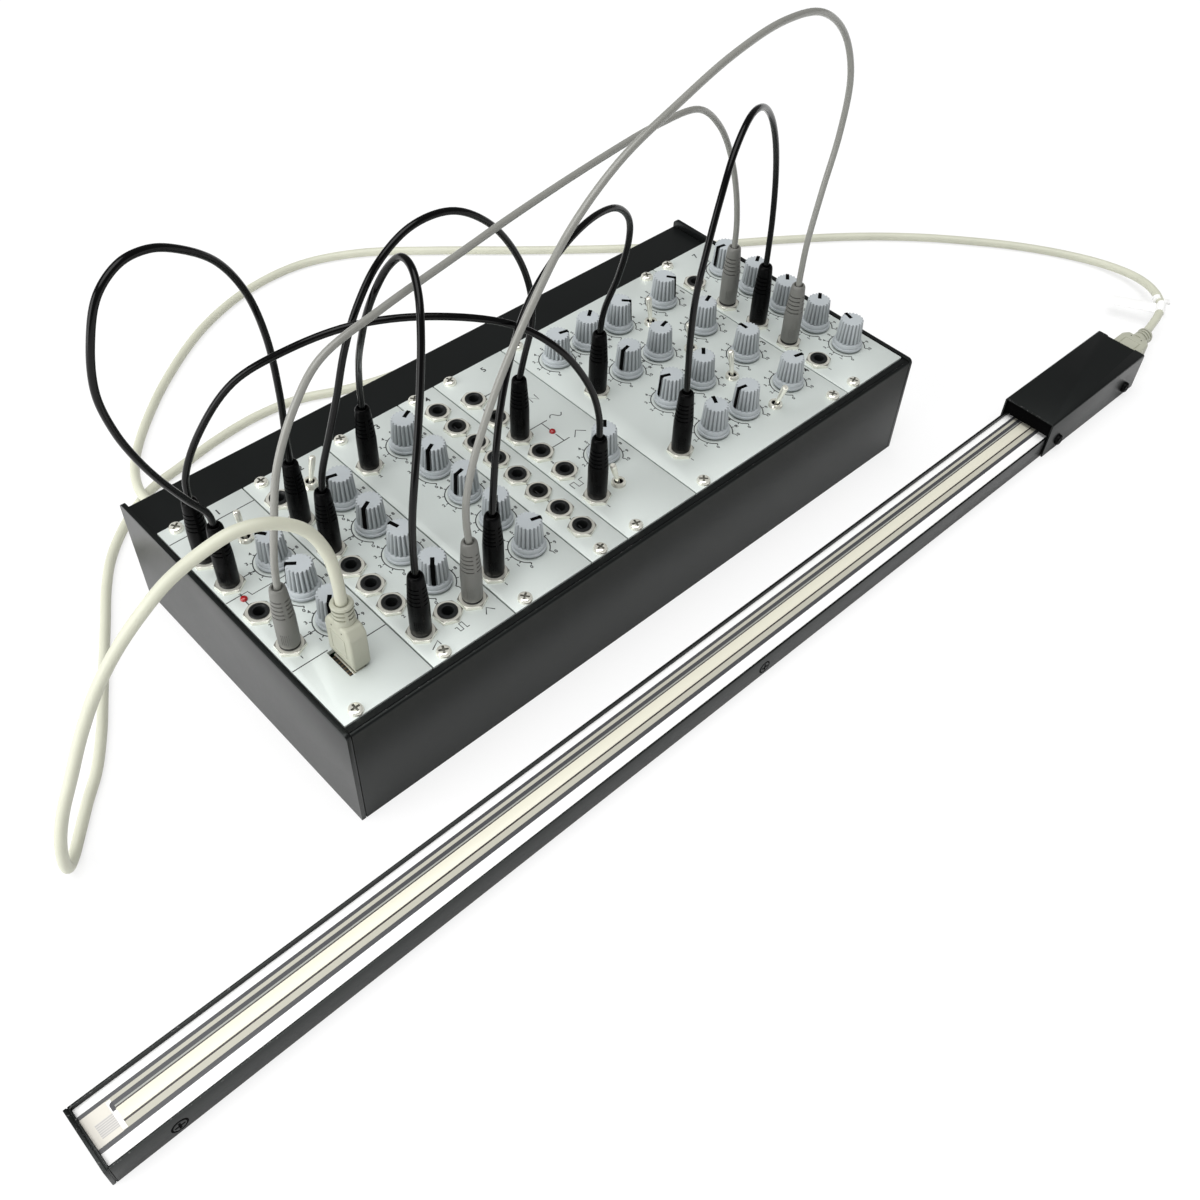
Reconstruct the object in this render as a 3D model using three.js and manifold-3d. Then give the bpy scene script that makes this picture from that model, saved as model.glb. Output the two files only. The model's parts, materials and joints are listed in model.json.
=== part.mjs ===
// Modular synthesizer: seven front panels lie face up in a low folded steel case. Eight short
// leads patch them, and a ribbon controller in front of the case is joined by a control cable.
// Lengths are in millimetres, +X runs to the right along the panels, +Y to the back, +Z up.
// The origin is on the floor, under the middle of the case and the ribbon controller together.
import * as THREE from "three";
import { mergeVertices } from "three/addons/utils/BufferGeometryUtils.js";
import Module from "manifold-3d";

const wasm = await Module();
wasm.setup();

// Fits: the clearance between pieces that touch, and how far a cutter passes a face
const gap = 0.3;
const overrun = 1;

// Rack of front panels, each a whole number of units wide
const moduleUnit = 5.08;
const panelHeight = 128.5;
const panelThickness = 2;
const boardDepth = 12.6;
const boardThickness = 1.6;
const boardMargin = 2.6;

// Case, folded from one sheet, with a rail under each long edge of the panels
const caseHeight = 55.1;
const frontLip = 4.8;
const lipDrop = 0.6;
const backStrip = 25.5;
const stripDrop = 3.4;
const seam = 0.8;
const sheet = 1.5;
const bendRadius = 1.4;
const railDepth = 9;
const railHeight = 8;
const sidePlate = 2;
const endPlay = 0.1;
const sideRise = 0.15;

// Panel screws
const screwInset = 7.5;
const screwEdge = 3;
const screwRadius = 3;
const screwHeight = 1.9;
const screwCrownShare = 0.75;

// Jacks: a hexagon nut that rises to a ring, and a bore that takes the tip of a plug
const nutRadius = 5.45;
const nutHeight = 1.7;
const ringRadius = 4.15;
const ringHeight = 2.2;
const boreRadius = 2.35;
const jackBody = 8.4;

// Knobs: a skirt, a flare and a fluted grip on a shaft
const knobLift = 0.94;
const skirtRadius = 7.33;
const skirtTop = 2.2;
const gripBase = 4.3;
const gripBaseRadius = 6.15;
const gripTop = 15.3;
const gripTopRadius = 5.45;
const fluteDepth = 0.55;
const fluteCount = 8;
const shaftRadius = 3;
const shaftDepth = 9;
const shaftBoreRadius = 3.85;
const potBody = 9.6;

// Toggle switches: a threaded bushing and a bat lever
const bushingRadius = 2.9;
const bushingBore = 2.05;
const bushingHeight = 1.8;
const tallBushingHeight = 3;
const pivotDepth = 1.8;
const leverLength = 14;
const leverRoot = 1.55;
const leverNeck = 1;
const leverEnd = 1.3;
const leverRound = 0.5;
const bushingDepth = 3.9;
const switchBody = 6.6;

// Signal lamps
const lampRadius = 1.5;
const lampHeight = 1.3;

// Plugs and their leads
const plugLift = 2.5;
const tipRadius = 1.72;
const tipLength = 14;
const plugRadius = 4.3;
const plugBarrel = 14.6;
const reliefNeck = 3.4;
const reliefRadius = 3.9;
const reliefRise = 1.2;
const plugLength = 30.8;
const plugCrown = 2;
const crownHeight = 1.6;
const leadRadius = 1.4;

// Control cable and its two flat connectors
const cableRadius = 2.3;
const shellWidth = 12;
const shellThickness = 4.5;
const shellLength = 9;
const hoodWidth = 16;
const hoodThickness = 8.5;
const hoodLength = 24;
const hoodChamfer = 1.6;
const hoodLift = 1;
const collarRadius = 3.7;
const collarNeck = 2.9;
const collarLength = 10;
const collarRibs = 3;

// Socket in the first panel
const slotLong = 15;
const slotShort = 8.3;
const socketWall = 0.7;

// Ribbon controller in front of the case
const ribbonLength = 606.2;
const ribbonGap = 28.6;
const channelWidth = 26.2;
const channelHeight = 12;
const channelWall = 1.3;
const channelFloor = 1.5;
const endPlate = 1.2;
const endSlit = 0.6;
const sensorDrop = 2;
const activeWidth = 7.2;
const activeRise = 0.25;
const activeMargin = 14;
const coverLength = 85.9;
const coverWidth = 28.4;
const coverHeight = 21.3;
const coverWall = 0.8;
const coverRound = 1.2;
const coverInset = 1;
const coverScrewRadius = 2.9;
const coverScrewHeight = 2;
const coverScrewShares = [0.13, 0.87];
const coverScrewDrop = 15.3;
const socketCentre = 10.8;
const socketDepth = 12;

// Facets round each turned piece, and steps along each cord
const fineSides = 8;
const coarseSides = 6;
const leadSteps = 14;
const cableSteps = 64;

// Widths of the panels in units, and what stands on each, at shares of its width and height
const jackColumnShare = 0.177;
const knobColumnShare = 0.669;
const knobRowShare = 0.1805;
const knobPitchShare = 0.1588;
const knobRows = (steps) => steps.map((step) => [knobColumnShare, knobRowShare + knobPitchShare * step]);
const jackRows = (shares) => shares.map((share) => [jackColumnShare, share]);
const filterRowShares = [0.1782, 0.393, 0.6078, 0.8226];
const filterColumnShares = [0.3425, 0.5433, 0.8425];
const filterFirstShare = 0.1506;
const filterRows = filterRowShares.flatMap((row) => filterColumnShares.map((column) => [column, row]));
const modules = [
  {
    name: "ribbon_interface",
    units: 8,
    jackShares: jackRows([0.3416, 0.5035, 0.6638, 0.8]),
    knobShares: knobRows([1, 2, 3]),
    pointers: [-140, -52, -36],
    toggles: [{ shares: [0.6275, 0.7961], lean: 13, along: "y" }],
    lampShares: [[0.1722, 0.5852]],
    slotShares: [0.476, 0.191],
  },
  {
    name: "oscillator",
    units: 8,
    jackShares: [
      ...jackRows([0.1261, 0.2708, 0.3751, 0.477, 0.5782, 0.7447, 0.87]),
      [0.5094, 0.1323],
      [0.7997, 0.1268],
    ],
    knobShares: knobRows([0.5, 1.5, 2.5, 3.5]),
    pointers: [-142, -15, -119, -75],
    toggles: [{ shares: [0.5487, 0.8623], lean: 13, along: "x", tall: true }],
  },
  {
    name: "divider",
    units: 8,
    jackShares: jackRows([0.1665, 0.8078]),
    knobShares: knobRows([0, 1, 2, 3, 4]),
    pointers: [106, -140, -102, -118, 63],
  },
  {
    name: "multiple",
    units: 4,
    jackShares: [0, 1, 2, 3, 4, 5, 6, 7].map((step) => [0.5, 0.1323 + 0.1058 * step]),
  },
  {
    name: "lfo",
    units: 8,
    jackShares: jackRows([0.2054, 0.3634, 0.4825, 0.5922, 0.7144, 0.8397]),
    knobShares: knobRows([1]),
    pointers: [43],
    toggles: [{ shares: [0.4847, 0.2039], lean: -17.8, along: "x" }],
    lampShares: [[0.5044, 0.5409]],
  },
  {
    name: "formant_filter",
    units: 20,
    screwColumns: 2,
    jackShares: [[0.1378, 0.1813], [0.1378, 0.5977]],
    knobShares: [...filterRows, [filterFirstShare, filterRowShares[3]]],
    pointers: [29, -79, 103, -69, 46, 0, -102, 74, 67, 53, 136, 145, 104],
    toggles: [-16.4, 11.7, 12, 11.5].map((lean, step) => ({
      shares: [0.6791, 0.1261 + 0.2101 * step],
      lean,
      along: "y",
    })),
  },
  {
    name: "amplifier",
    units: 8,
    jackShares: jackRows([0.1883, 0.3346, 0.4926, 0.6498, 0.8226]),
    knobShares: knobRows([0, 1, 2, 3, 4]),
    pointers: [16, 54, 49, 58, -79],
  },
];

// Leads: the panel and jack at each end, and the points that the cord passes between its plugs,
// measured from the front left corner of the row of panels at the height of their faces
const leads = [
  {
    colour: "black",
    ends: [[0, 3], [4, 0]],
    route: [
      [8.2, 102.2, 45], [16, 98.8, 64], [30, 91.2, 85], [46.5, 82, 95.5], [68, 70, 103],
      [92, 57.5, 102.5], [119, 43, 94], [135, 34, 79], [145.5, 28.6, 59], [149, 26.8, 44],
    ],
  },
  {
    colour: "black",
    ends: [[0, 2], [1, 5]],
    route: [
      [6, 85, 40], [-1, 83.5, 53], [-9, 82, 69], [-15, 80.5, 84], [-19, 80, 98], [-21, 79.5, 115],
      [-17.5, 80, 132], [-10.5, 81.7, 145.5], [-0.5, 84.2, 151], [10.5, 86.8, 150],
      [21.5, 89.3, 144], [34.5, 92.6, 132], [43.5, 94.6, 115], [48.3, 95.6, 93],
      [49.2, 95.8, 66], [48.2, 95.7, 46],
    ],
  },
  {
    colour: "black",
    ends: [[1, 4], [4, 3]],
    route: [
      [49.5, 74.3, 42], [55, 74.4, 57], [60.5, 74.5, 72], [66.5, 74.6, 90], [74, 74.8, 105],
      [85, 75, 118.5], [100, 75.3, 126.5], [118, 75.6, 125.5], [135, 75.8, 114], [149, 76, 94],
      [156, 76.1, 74], [156.8, 76.1, 58], [152.5, 76.1, 43],
    ],
  },
  {
    colour: "black",
    ends: [[2, 1], [1, 0]],
    route: [
      [87.8, 102.5, 44], [85.8, 98.2, 57], [81.6, 90, 70.5], [78.6, 82.2, 84], [78.6, 76.8, 98],
      [80.3, 71, 112], [83, 65.6, 123], [83.8, 58.5, 130], [81.8, 50.2, 131], [77.2, 41, 126.5],
      [71.5, 33.6, 117.5], [66, 28.3, 105], [59.9, 23.4, 90.3], [53.8, 18.8, 77], [49.3, 16.2, 62],
      [47.9, 16, 46],
    ],
  },
  {
    colour: "black",
    ends: [[2, 0], [5, 1]],
    route: [
      [90, 22, 43], [94, 24.5, 60], [101, 29, 77], [111, 34.5, 91], [124, 41, 101], [141, 48, 107],
      [158, 53.6, 110], [175, 58.5, 109.5], [190, 63, 104], [200.5, 66.5, 93], [204, 69.5, 79],
      [202.5, 73, 61], [198.3, 76, 45],
    ],
  },
  {
    colour: "black",
    ends: [[5, 0], [6, 2]],
    route: [
      [195.6, 22.8, 46], [194.8, 22.7, 62], [196, 23.2, 82], [202, 25.2, 100], [211, 29, 116],
      [222, 34, 129], [236, 40, 135.5], [250, 46, 132.5], [264, 52, 122], [277, 57.5, 104],
      [286, 61.3, 82], [290.4, 62.9, 59], [291.5, 63.3, 43],
    ],
  },
  {
    colour: "grey",
    ends: [[0, 0], [6, 3]],
    route: [
      [8.2, 43.9, 45], [11.5, 44.3, 62], [17.5, 45.4, 84], [29, 47.2, 103], [42, 49.4, 114],
      [70, 53, 118.5], [104, 57.5, 121], [139, 62.5, 123], [185, 69, 124], [222, 73.8, 123.5],
      [250, 78, 118.5], [267.5, 80.8, 104], [279, 82.4, 86], [287, 83.2, 65], [291, 83.5, 46],
    ],
  },
  {
    colour: "grey",
    ends: [[1, 8], [6, 1]],
    route: [
      [72.4, 16.3, 42], [73, 16.4, 54], [77, 17, 68], [84, 18, 83], [94, 19.2, 100],
      [108, 20.6, 119], [127, 23, 139], [152, 25.9, 154], [182, 29, 163], [214, 33, 169.5],
      [246, 37.5, 170.5], [274, 41.5, 164], [294, 43.8, 148.5], [303.5, 44.2, 128],
      [303, 44, 104], [297, 43.4, 79], [292.3, 43, 55], [291.7, 43, 42],
    ],
  },
];

// Control cable, from the socket in the first panel over the left side, along the floor behind
// the case and back, and round the right side to the far end of the ribbon controller
const cableRoute = [
  [20.6, 24.5, 46], [18.5, 25.2, 60], [13, 26.8, 72], [3, 29.3, 79.5], [-8, 32, 81],
  [-20, 34.3, 77.5], [-32, 36.6, 71], [-43, 38.6, 61.5], [-54, 41, 49], [-64, 43, 34.5],
  [-73.5, 44, 18], [-82.5, 44.3, 0], [-90, 44.4, -15], [-94.8, 44.4, -28], [-97, 44.8, -40],
  [-96.3, 47.4, -48.5], [-92.3, 53, -52.2], [-85.5, 61, -52.5], [-77, 71, -52.5],
  [-67, 82, -52.5], [-56, 98, -52.5], [-46, 115, -52.5], [-36, 132, -52.5], [-26, 149, -52.5],
  [-16, 166, -52.5], [-6, 180, -52.5], [6, 192, -52.5], [18.5, 201.5, -52.5],
  [32, 208.6, -52.5], [50, 213, -52.5], [72, 218, -52.5], [98, 220.5, -52.5],
  [122, 217.5, -52.5], [144, 208.5, -52.5], [166, 202.5, -52.5], [195, 200.3, -52.5],
  [230, 200, -52.5], [270, 200, -52.5], [306, 200, -52.5], [322, 198.5, -52.5],
  [335, 191.5, -52.5], [339.5, 181.8, -52.5], [335, 172, -52.5], [322, 165, -52.5],
  [306, 163.5, -52.5], [280, 163.5, -52.5], [240, 164, -52.5], [200, 164, -52.5],
  [160, 164, -52.5], [120, 164, -52.5], [80, 163.8, -52.5], [53, 164.2, -52.2],
  [38, 167.5, -51], [28, 176, -48.7], [24, 187, -47.2], [23.6, 197, -46.8],
  [25, 207, -47.1], [31.5, 223, -49.5], [42, 239, -51.9], [57, 255.5, -52.5],
  [80, 276, -52.5], [117, 301, -52.5], [154, 314.5, -52.5], [190, 316, -52.5],
  [222, 304, -52.5], [258, 277, -52.5], [295, 246, -52.5], [335, 214, -52.5],
  [381, 180, -52.5], [425, 151, -52.5], [462, 124, -52.5], [490, 99, -52.5],
  [511, 76, -52.5], [527, 56, -52.5], [541, 34, -52.5], [550, 10, -51.5],
  [549.5, -12, -49], [541, -28, -46.5], [526, -40, -44.7],
];

// Sizes that follow from the ones above
const rowWidth = moduleUnit * modules.reduce((sum, module) => sum + module.units, 0);
const caseDepth = frontLip + panelHeight + backStrip;
const overallDepth = caseDepth + ribbonGap + coverWidth + coverScrewHeight;
const railTop = -panelThickness - gap;
const ribbonY = -frontLip - ribbonGap - coverWidth / 2;
const plugTop = plugLift + plugLength;

// Colour, roughness and metalness of each kind of piece
const finishes = {
  case: { color: 0x0c0d0f, roughness: 0.5, metalness: 0.2 },
  panel: { color: 0xc9cdd0, roughness: 0.45, metalness: 0.6 },
  knob: { color: 0x8d9298, roughness: 0.6, metalness: 0 },
  lever: { color: 0xb9b6ae, roughness: 0.25, metalness: 1 },
  sensor: { color: 0xdedccd, roughness: 0.5, metalness: 0 },
  black: { color: 0x101112, roughness: 0.6, metalness: 0 },
  grey: { color: 0x7d7f80, roughness: 0.6, metalness: 0 },
  ivory: { color: 0xc9c5b6, roughness: 0.55, metalness: 0 },
};

// The rack group has its origin at the front left corner of the row of panels, at their faces
const synthesizer = new THREE.Group();
const rack = new THREE.Group();
rack.position.set(-rowWidth / 2, overallDepth / 2 - panelHeight - backStrip, caseHeight);
synthesizer.add(rack);

function place(name, geometry, finish, x = 0, y = 0, z = 0) {
  const mesh = new THREE.Mesh(geometry, new THREE.MeshStandardMaterial(finishes[finish]));
  mesh.name = name;
  mesh.position.set(x, y, z);
  rack.add(mesh);
  return mesh;
}

// A closed mesh becomes a solid once its shared vertices are merged
function solid(geometry) {
  const bare = geometry.clone();
  bare.deleteAttribute("normal");
  bare.deleteAttribute("uv");
  const merged = mergeVertices(bare);
  const mesh = new wasm.Mesh({
    numProp: 3,
    vertProperties: merged.getAttribute("position").array,
    triVerts: new Uint32Array(merged.index.array),
  });
  return new wasm.Manifold(mesh);
}

function shaped(body) {
  const mesh = body.getMesh();
  const geometry = new THREE.BufferGeometry();
  geometry.setAttribute("position", new THREE.BufferAttribute(mesh.vertProperties, 3));
  geometry.setIndex(new THREE.BufferAttribute(mesh.triVerts, 1));
  return geometry;
}

// A block by its middle in plan and its lower and upper faces
function block(width, depth, bottom, top, x = 0, y = 0) {
  const geometry = new THREE.BoxGeometry(width, depth, top - bottom);
  return geometry.translate(x, y, (bottom + top) / 2);
}

// An upright prism or cone frustum with a corner towards +X
function prism(radius, sides, bottom, top, x = 0, y = 0, upperRadius = radius) {
  const geometry = new THREE.CylinderGeometry(upperRadius, radius, top - bottom, sides);
  geometry.rotateX(Math.PI / 2).rotateZ(Math.PI / 2);
  return geometry.translate(x, y, (bottom + top) / 2);
}

// An outline in the Y-Z plane, drawn from [y, z] points, extruded along +X
function alongX(points, length) {
  const outline = new THREE.Shape(points.map(([y, z]) => new THREE.Vector2(y, z)));
  const geometry = new THREE.ExtrudeGeometry(outline, { depth: length, bevelEnabled: false });
  return geometry.rotateX(Math.PI / 2).rotateZ(Math.PI / 2);
}

// Points of a quarter round, from one angle to another about a centre
function arc(centreY, centreZ, radius, from, to, steps = 3) {
  const points = [];
  for (let step = 0; step <= steps; step += 1) {
    const angle = from + ((to - from) * step) / steps;
    points.push([centreY + radius * Math.cos(angle), centreZ + radius * Math.sin(angle)]);
  }
  return points;
}

// A ring of points round the Z axis; a flute depth draws every second point inwards
function ringOf(count, radius, z, flute = 0) {
  const points = [];
  for (let index = 0; index < count; index += 1) {
    const angle = (2 * Math.PI * index) / count;
    const reach = index % 2 === 0 ? radius - flute : radius;
    points.push(new THREE.Vector3(reach * Math.cos(angle), reach * Math.sin(angle), z));
  }
  return points;
}

// A skin over rings from bottom to top, which may have different numbers of points, with the
// first and last closed to the axis
function ringSkin(rings) {
  const points = rings.flat();
  const triangles = [];
  let first = 0;
  for (let level = 0; level + 1 < rings.length; level += 1) {
    const lower = rings[level].length;
    const upper = rings[level + 1].length;
    const above = first + lower;
    let low = 0;
    let high = 0;
    while (low < lower || high < upper) {
      const fromLow = first + (low % lower);
      const fromHigh = above + (high % upper);
      if (high >= upper || (low < lower && (low + 1) / lower <= (high + 1) / upper)) {
        triangles.push(fromLow, first + ((low + 1) % lower), fromHigh);
        low += 1;
      } else {
        triangles.push(fromLow, above + ((high + 1) % upper), fromHigh);
        high += 1;
      }
    }
    first = above;
  }
  const lowest = rings[0];
  const highest = rings[rings.length - 1];
  const bottom = points.push(new THREE.Vector3(0, 0, lowest[0].z)) - 1;
  const top = points.push(new THREE.Vector3(0, 0, highest[0].z)) - 1;
  for (let index = 0; index < lowest.length; index += 1) {
    triangles.push(bottom, (index + 1) % lowest.length, index);
  }
  for (let index = 0; index < highest.length; index += 1) {
    triangles.push(top, first + index, first + ((index + 1) % highest.length));
  }
  const geometry = new THREE.BufferGeometry().setFromPoints(points);
  geometry.setIndex(triangles);
  return geometry;
}

// A turned piece from [radius, height] pairs, bottom first
function turned(profile, sides) {
  return ringSkin(profile.map(([radius, z]) => ringOf(sides, radius, z)));
}

// Case tray: floor, walls, front lip, back strip and both rails in one folded section
function caseTray() {
  const front = -frontLip;
  const back = panelHeight + backStrip;
  const railEnd = railTop - railHeight;
  const section = [
    [front, -caseHeight],
    [back, -caseHeight],
    ...arc(back - bendRadius, -stripDrop - bendRadius, bendRadius, 0, Math.PI / 2),
    [panelHeight + seam, -stripDrop],
    [panelHeight + seam, railTop],
    [panelHeight - railDepth, railTop],
    [panelHeight - railDepth, railEnd],
    [panelHeight + seam, railEnd],
    [panelHeight + seam, -stripDrop - sheet],
    [back - sheet, -stripDrop - sheet],
    [back - sheet, sheet - caseHeight],
    [front + sheet, sheet - caseHeight],
    [front + sheet, railEnd],
    [railDepth, railEnd],
    [railDepth, railTop],
    [-gap, railTop],
    [-gap, -lipDrop],
    ...arc(front + bendRadius, -lipDrop - bendRadius, bendRadius, Math.PI / 2, Math.PI),
  ];
  return alongX(section, rowWidth + 2 * endPlay);
}

function casePieces() {
  place("case_tray", caseTray(), "case", -endPlay);
  const middleY = (panelHeight + backStrip - frontLip) / 2;
  const plateGeometry = block(sidePlate, caseDepth, -caseHeight, sideRise, 0, middleY);
  const reach = endPlay + gap + sidePlate / 2;
  place("side_plate_left", plateGeometry, "case", -reach);
  place("side_plate_right", plateGeometry.clone(), "case", rowWidth + reach);
}

// Pan head, sunk a little so that it joins what it holds
function screwHead(radius, height) {
  return turned([[radius, -gap], [radius * screwCrownShare, height]], coarseSides);
}

// One front panel with everything that is fixed to it
function panelSolid(module) {
  const width = module.units * moduleUnit;
  const at = ([xShare, yShare]) => [width * xShare, panelHeight * yShare];
  const plateWidth = width - gap;
  const boardTop = -boardDepth;
  const boardBottom = boardTop - boardThickness;
  const boardLength = panelHeight - 2 * (railDepth + boardMargin);
  let body = solid(block(plateWidth, panelHeight, -panelThickness, 0, width / 2, panelHeight / 2));
  const board = block(
    width - 2 * boardMargin, boardLength, boardBottom, boardTop, width / 2, panelHeight / 2,
  );
  body = body.add(solid(board));
  const screw = solid(screwHead(screwRadius, screwHeight));
  const nut = solid(turned([
    [nutRadius, -overrun],
    [nutRadius, nutHeight],
    [ringRadius, ringHeight],
  ], coarseSides));
  const screwPlaces = [screwInset];
  if (module.screwColumns === 2) {
    screwPlaces.push(width - screwInset);
  }
  for (const x of screwPlaces) {
    for (const y of [screwEdge, panelHeight - screwEdge]) {
      body = body.add(screw.translate([x, y, 0]));
    }
  }
  for (const place of module.jackShares) {
    const [x, y] = at(place);
    body = body.add(nut.translate([x, y, 0]));
    body = body.add(solid(block(jackBody, jackBody, boardTop - overrun, -overrun, x, y)));
    const boreEnd = plugLift - tipLength - gap;
    body = body.subtract(solid(prism(boreRadius, coarseSides, boreEnd, ringHeight + overrun, x, y)));
  }
  for (const place of module.knobShares ?? []) {
    const [x, y] = at(place);
    body = body.add(solid(block(potBody, potBody, boardTop - overrun, -overrun, x, y)));
    const boreEnd = -shaftDepth - gap;
    body = body.subtract(solid(prism(shaftBoreRadius, coarseSides, boreEnd, overrun, x, y)));
  }
  for (const toggle of module.toggles ?? []) {
    const [x, y] = at(toggle.shares);
    const top = toggle.tall ? tallBushingHeight : bushingHeight;
    body = body.add(solid(prism(bushingRadius, fineSides, -overrun, top, x, y)));
    body = body.add(solid(block(switchBody, switchBody, boardTop - overrun, -overrun, x, y)));
    const floor = top - bushingDepth;
    body = body.subtract(solid(prism(bushingBore, fineSides, floor, top + overrun, x, y)));
  }
  for (const place of module.lampShares ?? []) {
    const [x, y] = at(place);
    const lamp = prism(lampRadius, coarseSides, -overrun, lampHeight, x, y, lampRadius / 2);
    body = body.add(solid(lamp));
  }
  if (module.slotShares) {
    body = withSocket(body, at(module.slotShares), boardTop);
  }
  return body;
}

// The slot in the first panel, with the socket standing on the board under its right half
const connectorShift = (slotShort - shellThickness) / 2 - gap;
function withSocket(body, [x, y], boardTop) {
  const opening = block(slotShort, slotLong, -panelThickness - overrun, overrun, x, y);
  const outerLong = shellWidth + 2 * (gap + socketWall);
  const outerShort = shellThickness + 2 * (gap + socketWall);
  const centre = x + connectorShift;
  const socketTop = -panelThickness - gap;
  const socket = block(outerShort, outerLong, boardTop - overrun, socketTop, centre, y);
  const cavity = block(
    shellThickness + 2 * gap, shellWidth + 2 * gap,
    hoodLift - shellLength - gap, overrun, centre, y,
  );
  return body.subtract(solid(opening)).add(solid(socket)).subtract(solid(cavity));
}

// Knob: shaft, skirt, flare and fluted grip
function knobGeometry() {
  const points = 2 * fluteCount;
  return ringSkin([
    ringOf(coarseSides, shaftRadius, -shaftDepth),
    ringOf(coarseSides, shaftRadius, knobLift),
    ringOf(fluteCount, skirtRadius, knobLift),
    ringOf(fluteCount, skirtRadius, skirtTop),
    ringOf(points, gripBaseRadius, gripBase, fluteDepth),
    ringOf(points, gripTopRadius, gripTop, fluteDepth),
  ]);
}

// Bat lever with its rounded foot at the pivot
function leverGeometry() {
  return turned([
    [leverNeck, -leverRoot],
    [leverRoot, 0],
    [leverNeck, leverRoot],
    [leverEnd, leverLength - leverRound],
    [leverEnd - leverRound, leverLength],
  ], coarseSides);
}

function modulePieces() {
  const knob = knobGeometry();
  const lever = leverGeometry();
  let left = 0;
  for (const module of modules) {
    const width = module.units * moduleUnit;
    place(`${module.name}_panel`, shaped(panelSolid(module)), "panel", left);
    const knobPlaces = module.knobShares ?? [];
    knobPlaces.forEach(([xShare, yShare], index) => {
      const name = `${module.name}_knob_${index + 1}`;
      const piece = place(name, knob, "knob", left + width * xShare, panelHeight * yShare);
      piece.rotation.z = -THREE.MathUtils.degToRad(module.pointers[index]);
    });
    const togglePlaces = module.toggles ?? [];
    togglePlaces.forEach((toggle, index) => {
      const name = `${module.name}_toggle_${index + 1}`;
      const [xShare, yShare] = toggle.shares;
      const pivot = (toggle.tall ? tallBushingHeight : bushingHeight) - pivotDepth;
      const piece = place(name, lever, "lever", left + width * xShare, panelHeight * yShare, pivot);
      const lean = THREE.MathUtils.degToRad(toggle.lean);
      if (toggle.along === "y") {
        piece.rotation.x = -lean;
      } else {
        piece.rotation.y = lean;
      }
    });
    left += width;
  }
}

// A cord's rings are spaced as its points are, closer where it bends
class RouteCurve extends THREE.CatmullRomCurve3 {
  getUtoTmapping(u) {
    return u;
  }
}

function cordSolid(points, radius, steps) {
  const route = points.map(([x, y, z]) => new THREE.Vector3(x, y, z));
  const curve = new RouteCurve(route, false, "centripetal");
  const corners = ringOf(fineSides, radius, 0);
  const section = new THREE.Shape(corners.map((corner) => new THREE.Vector2(corner.x, corner.y)));
  return solid(new THREE.ExtrudeGeometry(section, { steps, extrudePath: curve, bevelEnabled: false }));
}

// Plug: tip, barrel, and a strain relief that is drawn in where it meets the barrel
function plugSolid() {
  const barrelTop = plugLift + plugBarrel;
  return solid(turned([
    [tipRadius, plugLift - tipLength],
    [tipRadius, plugLift],
    [plugRadius, plugLift],
    [plugRadius, barrelTop],
    [reliefNeck, barrelTop + reliefRise],
    [reliefRadius, plugTop - crownHeight],
    [plugCrown, plugTop],
  ], fineSides));
}

function jackPlace([moduleIndex, jackIndex]) {
  const before = modules.slice(0, moduleIndex).reduce((sum, module) => sum + module.units, 0);
  const module = modules[moduleIndex];
  const [xShare, yShare] = module.jackShares[jackIndex];
  return [moduleUnit * (before + module.units * xShare), panelHeight * yShare];
}

function leadPieces() {
  const plug = plugSolid();
  leads.forEach((lead, index) => {
    const [start, end] = lead.ends.map(jackPlace);
    const cordEnd = plugTop - leadRadius;
    const points = [[...start, cordEnd], ...lead.route, [...end, cordEnd]];
    const body = cordSolid(points, leadRadius, leadSteps)
      .add(plug.translate([...start, 0]))
      .add(plug.translate([...end, 0]));
    place(`patch_lead_${index + 1}`, shaped(body), lead.colour);
  });
}

// Flat connector pointing down: metal shell, chamfered hood, shoulders and a ribbed collar
function connectorSolid() {
  const shell = block(shellThickness, shellWidth, hoodLift - shellLength, hoodLift + overrun);
  const halfLong = hoodWidth / 2;
  const halfShort = hoodThickness / 2;
  const outline = new THREE.Shape([
    new THREE.Vector2(halfShort, halfLong - hoodChamfer),
    new THREE.Vector2(halfShort - hoodChamfer, halfLong),
    new THREE.Vector2(hoodChamfer - halfShort, halfLong),
    new THREE.Vector2(-halfShort, halfLong - hoodChamfer),
    new THREE.Vector2(-halfShort, hoodChamfer - halfLong),
    new THREE.Vector2(hoodChamfer - halfShort, -halfLong),
    new THREE.Vector2(halfShort - hoodChamfer, -halfLong),
    new THREE.Vector2(halfShort, hoodChamfer - halfLong),
  ]);
  const hood = new THREE.ExtrudeGeometry(outline, { depth: hoodLength, bevelEnabled: false });
  hood.translate(0, 0, hoodLift);
  const hoodTop = hoodLift + hoodLength;
  const profile = [[hoodThickness / 2, hoodTop - overrun], [collarNeck, hoodTop + collarNeck / 2]];
  const pitch = (collarLength - collarNeck / 2) / collarRibs;
  for (let rib = 0; rib < collarRibs; rib += 1) {
    const start = hoodTop + collarNeck / 2 + pitch * rib;
    profile.push([collarRadius, start + pitch / 3]);
    profile.push([collarNeck, start + pitch]);
  }
  return solid(shell).add(solid(hood)).add(solid(turned(profile, fineSides)));
}

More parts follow.
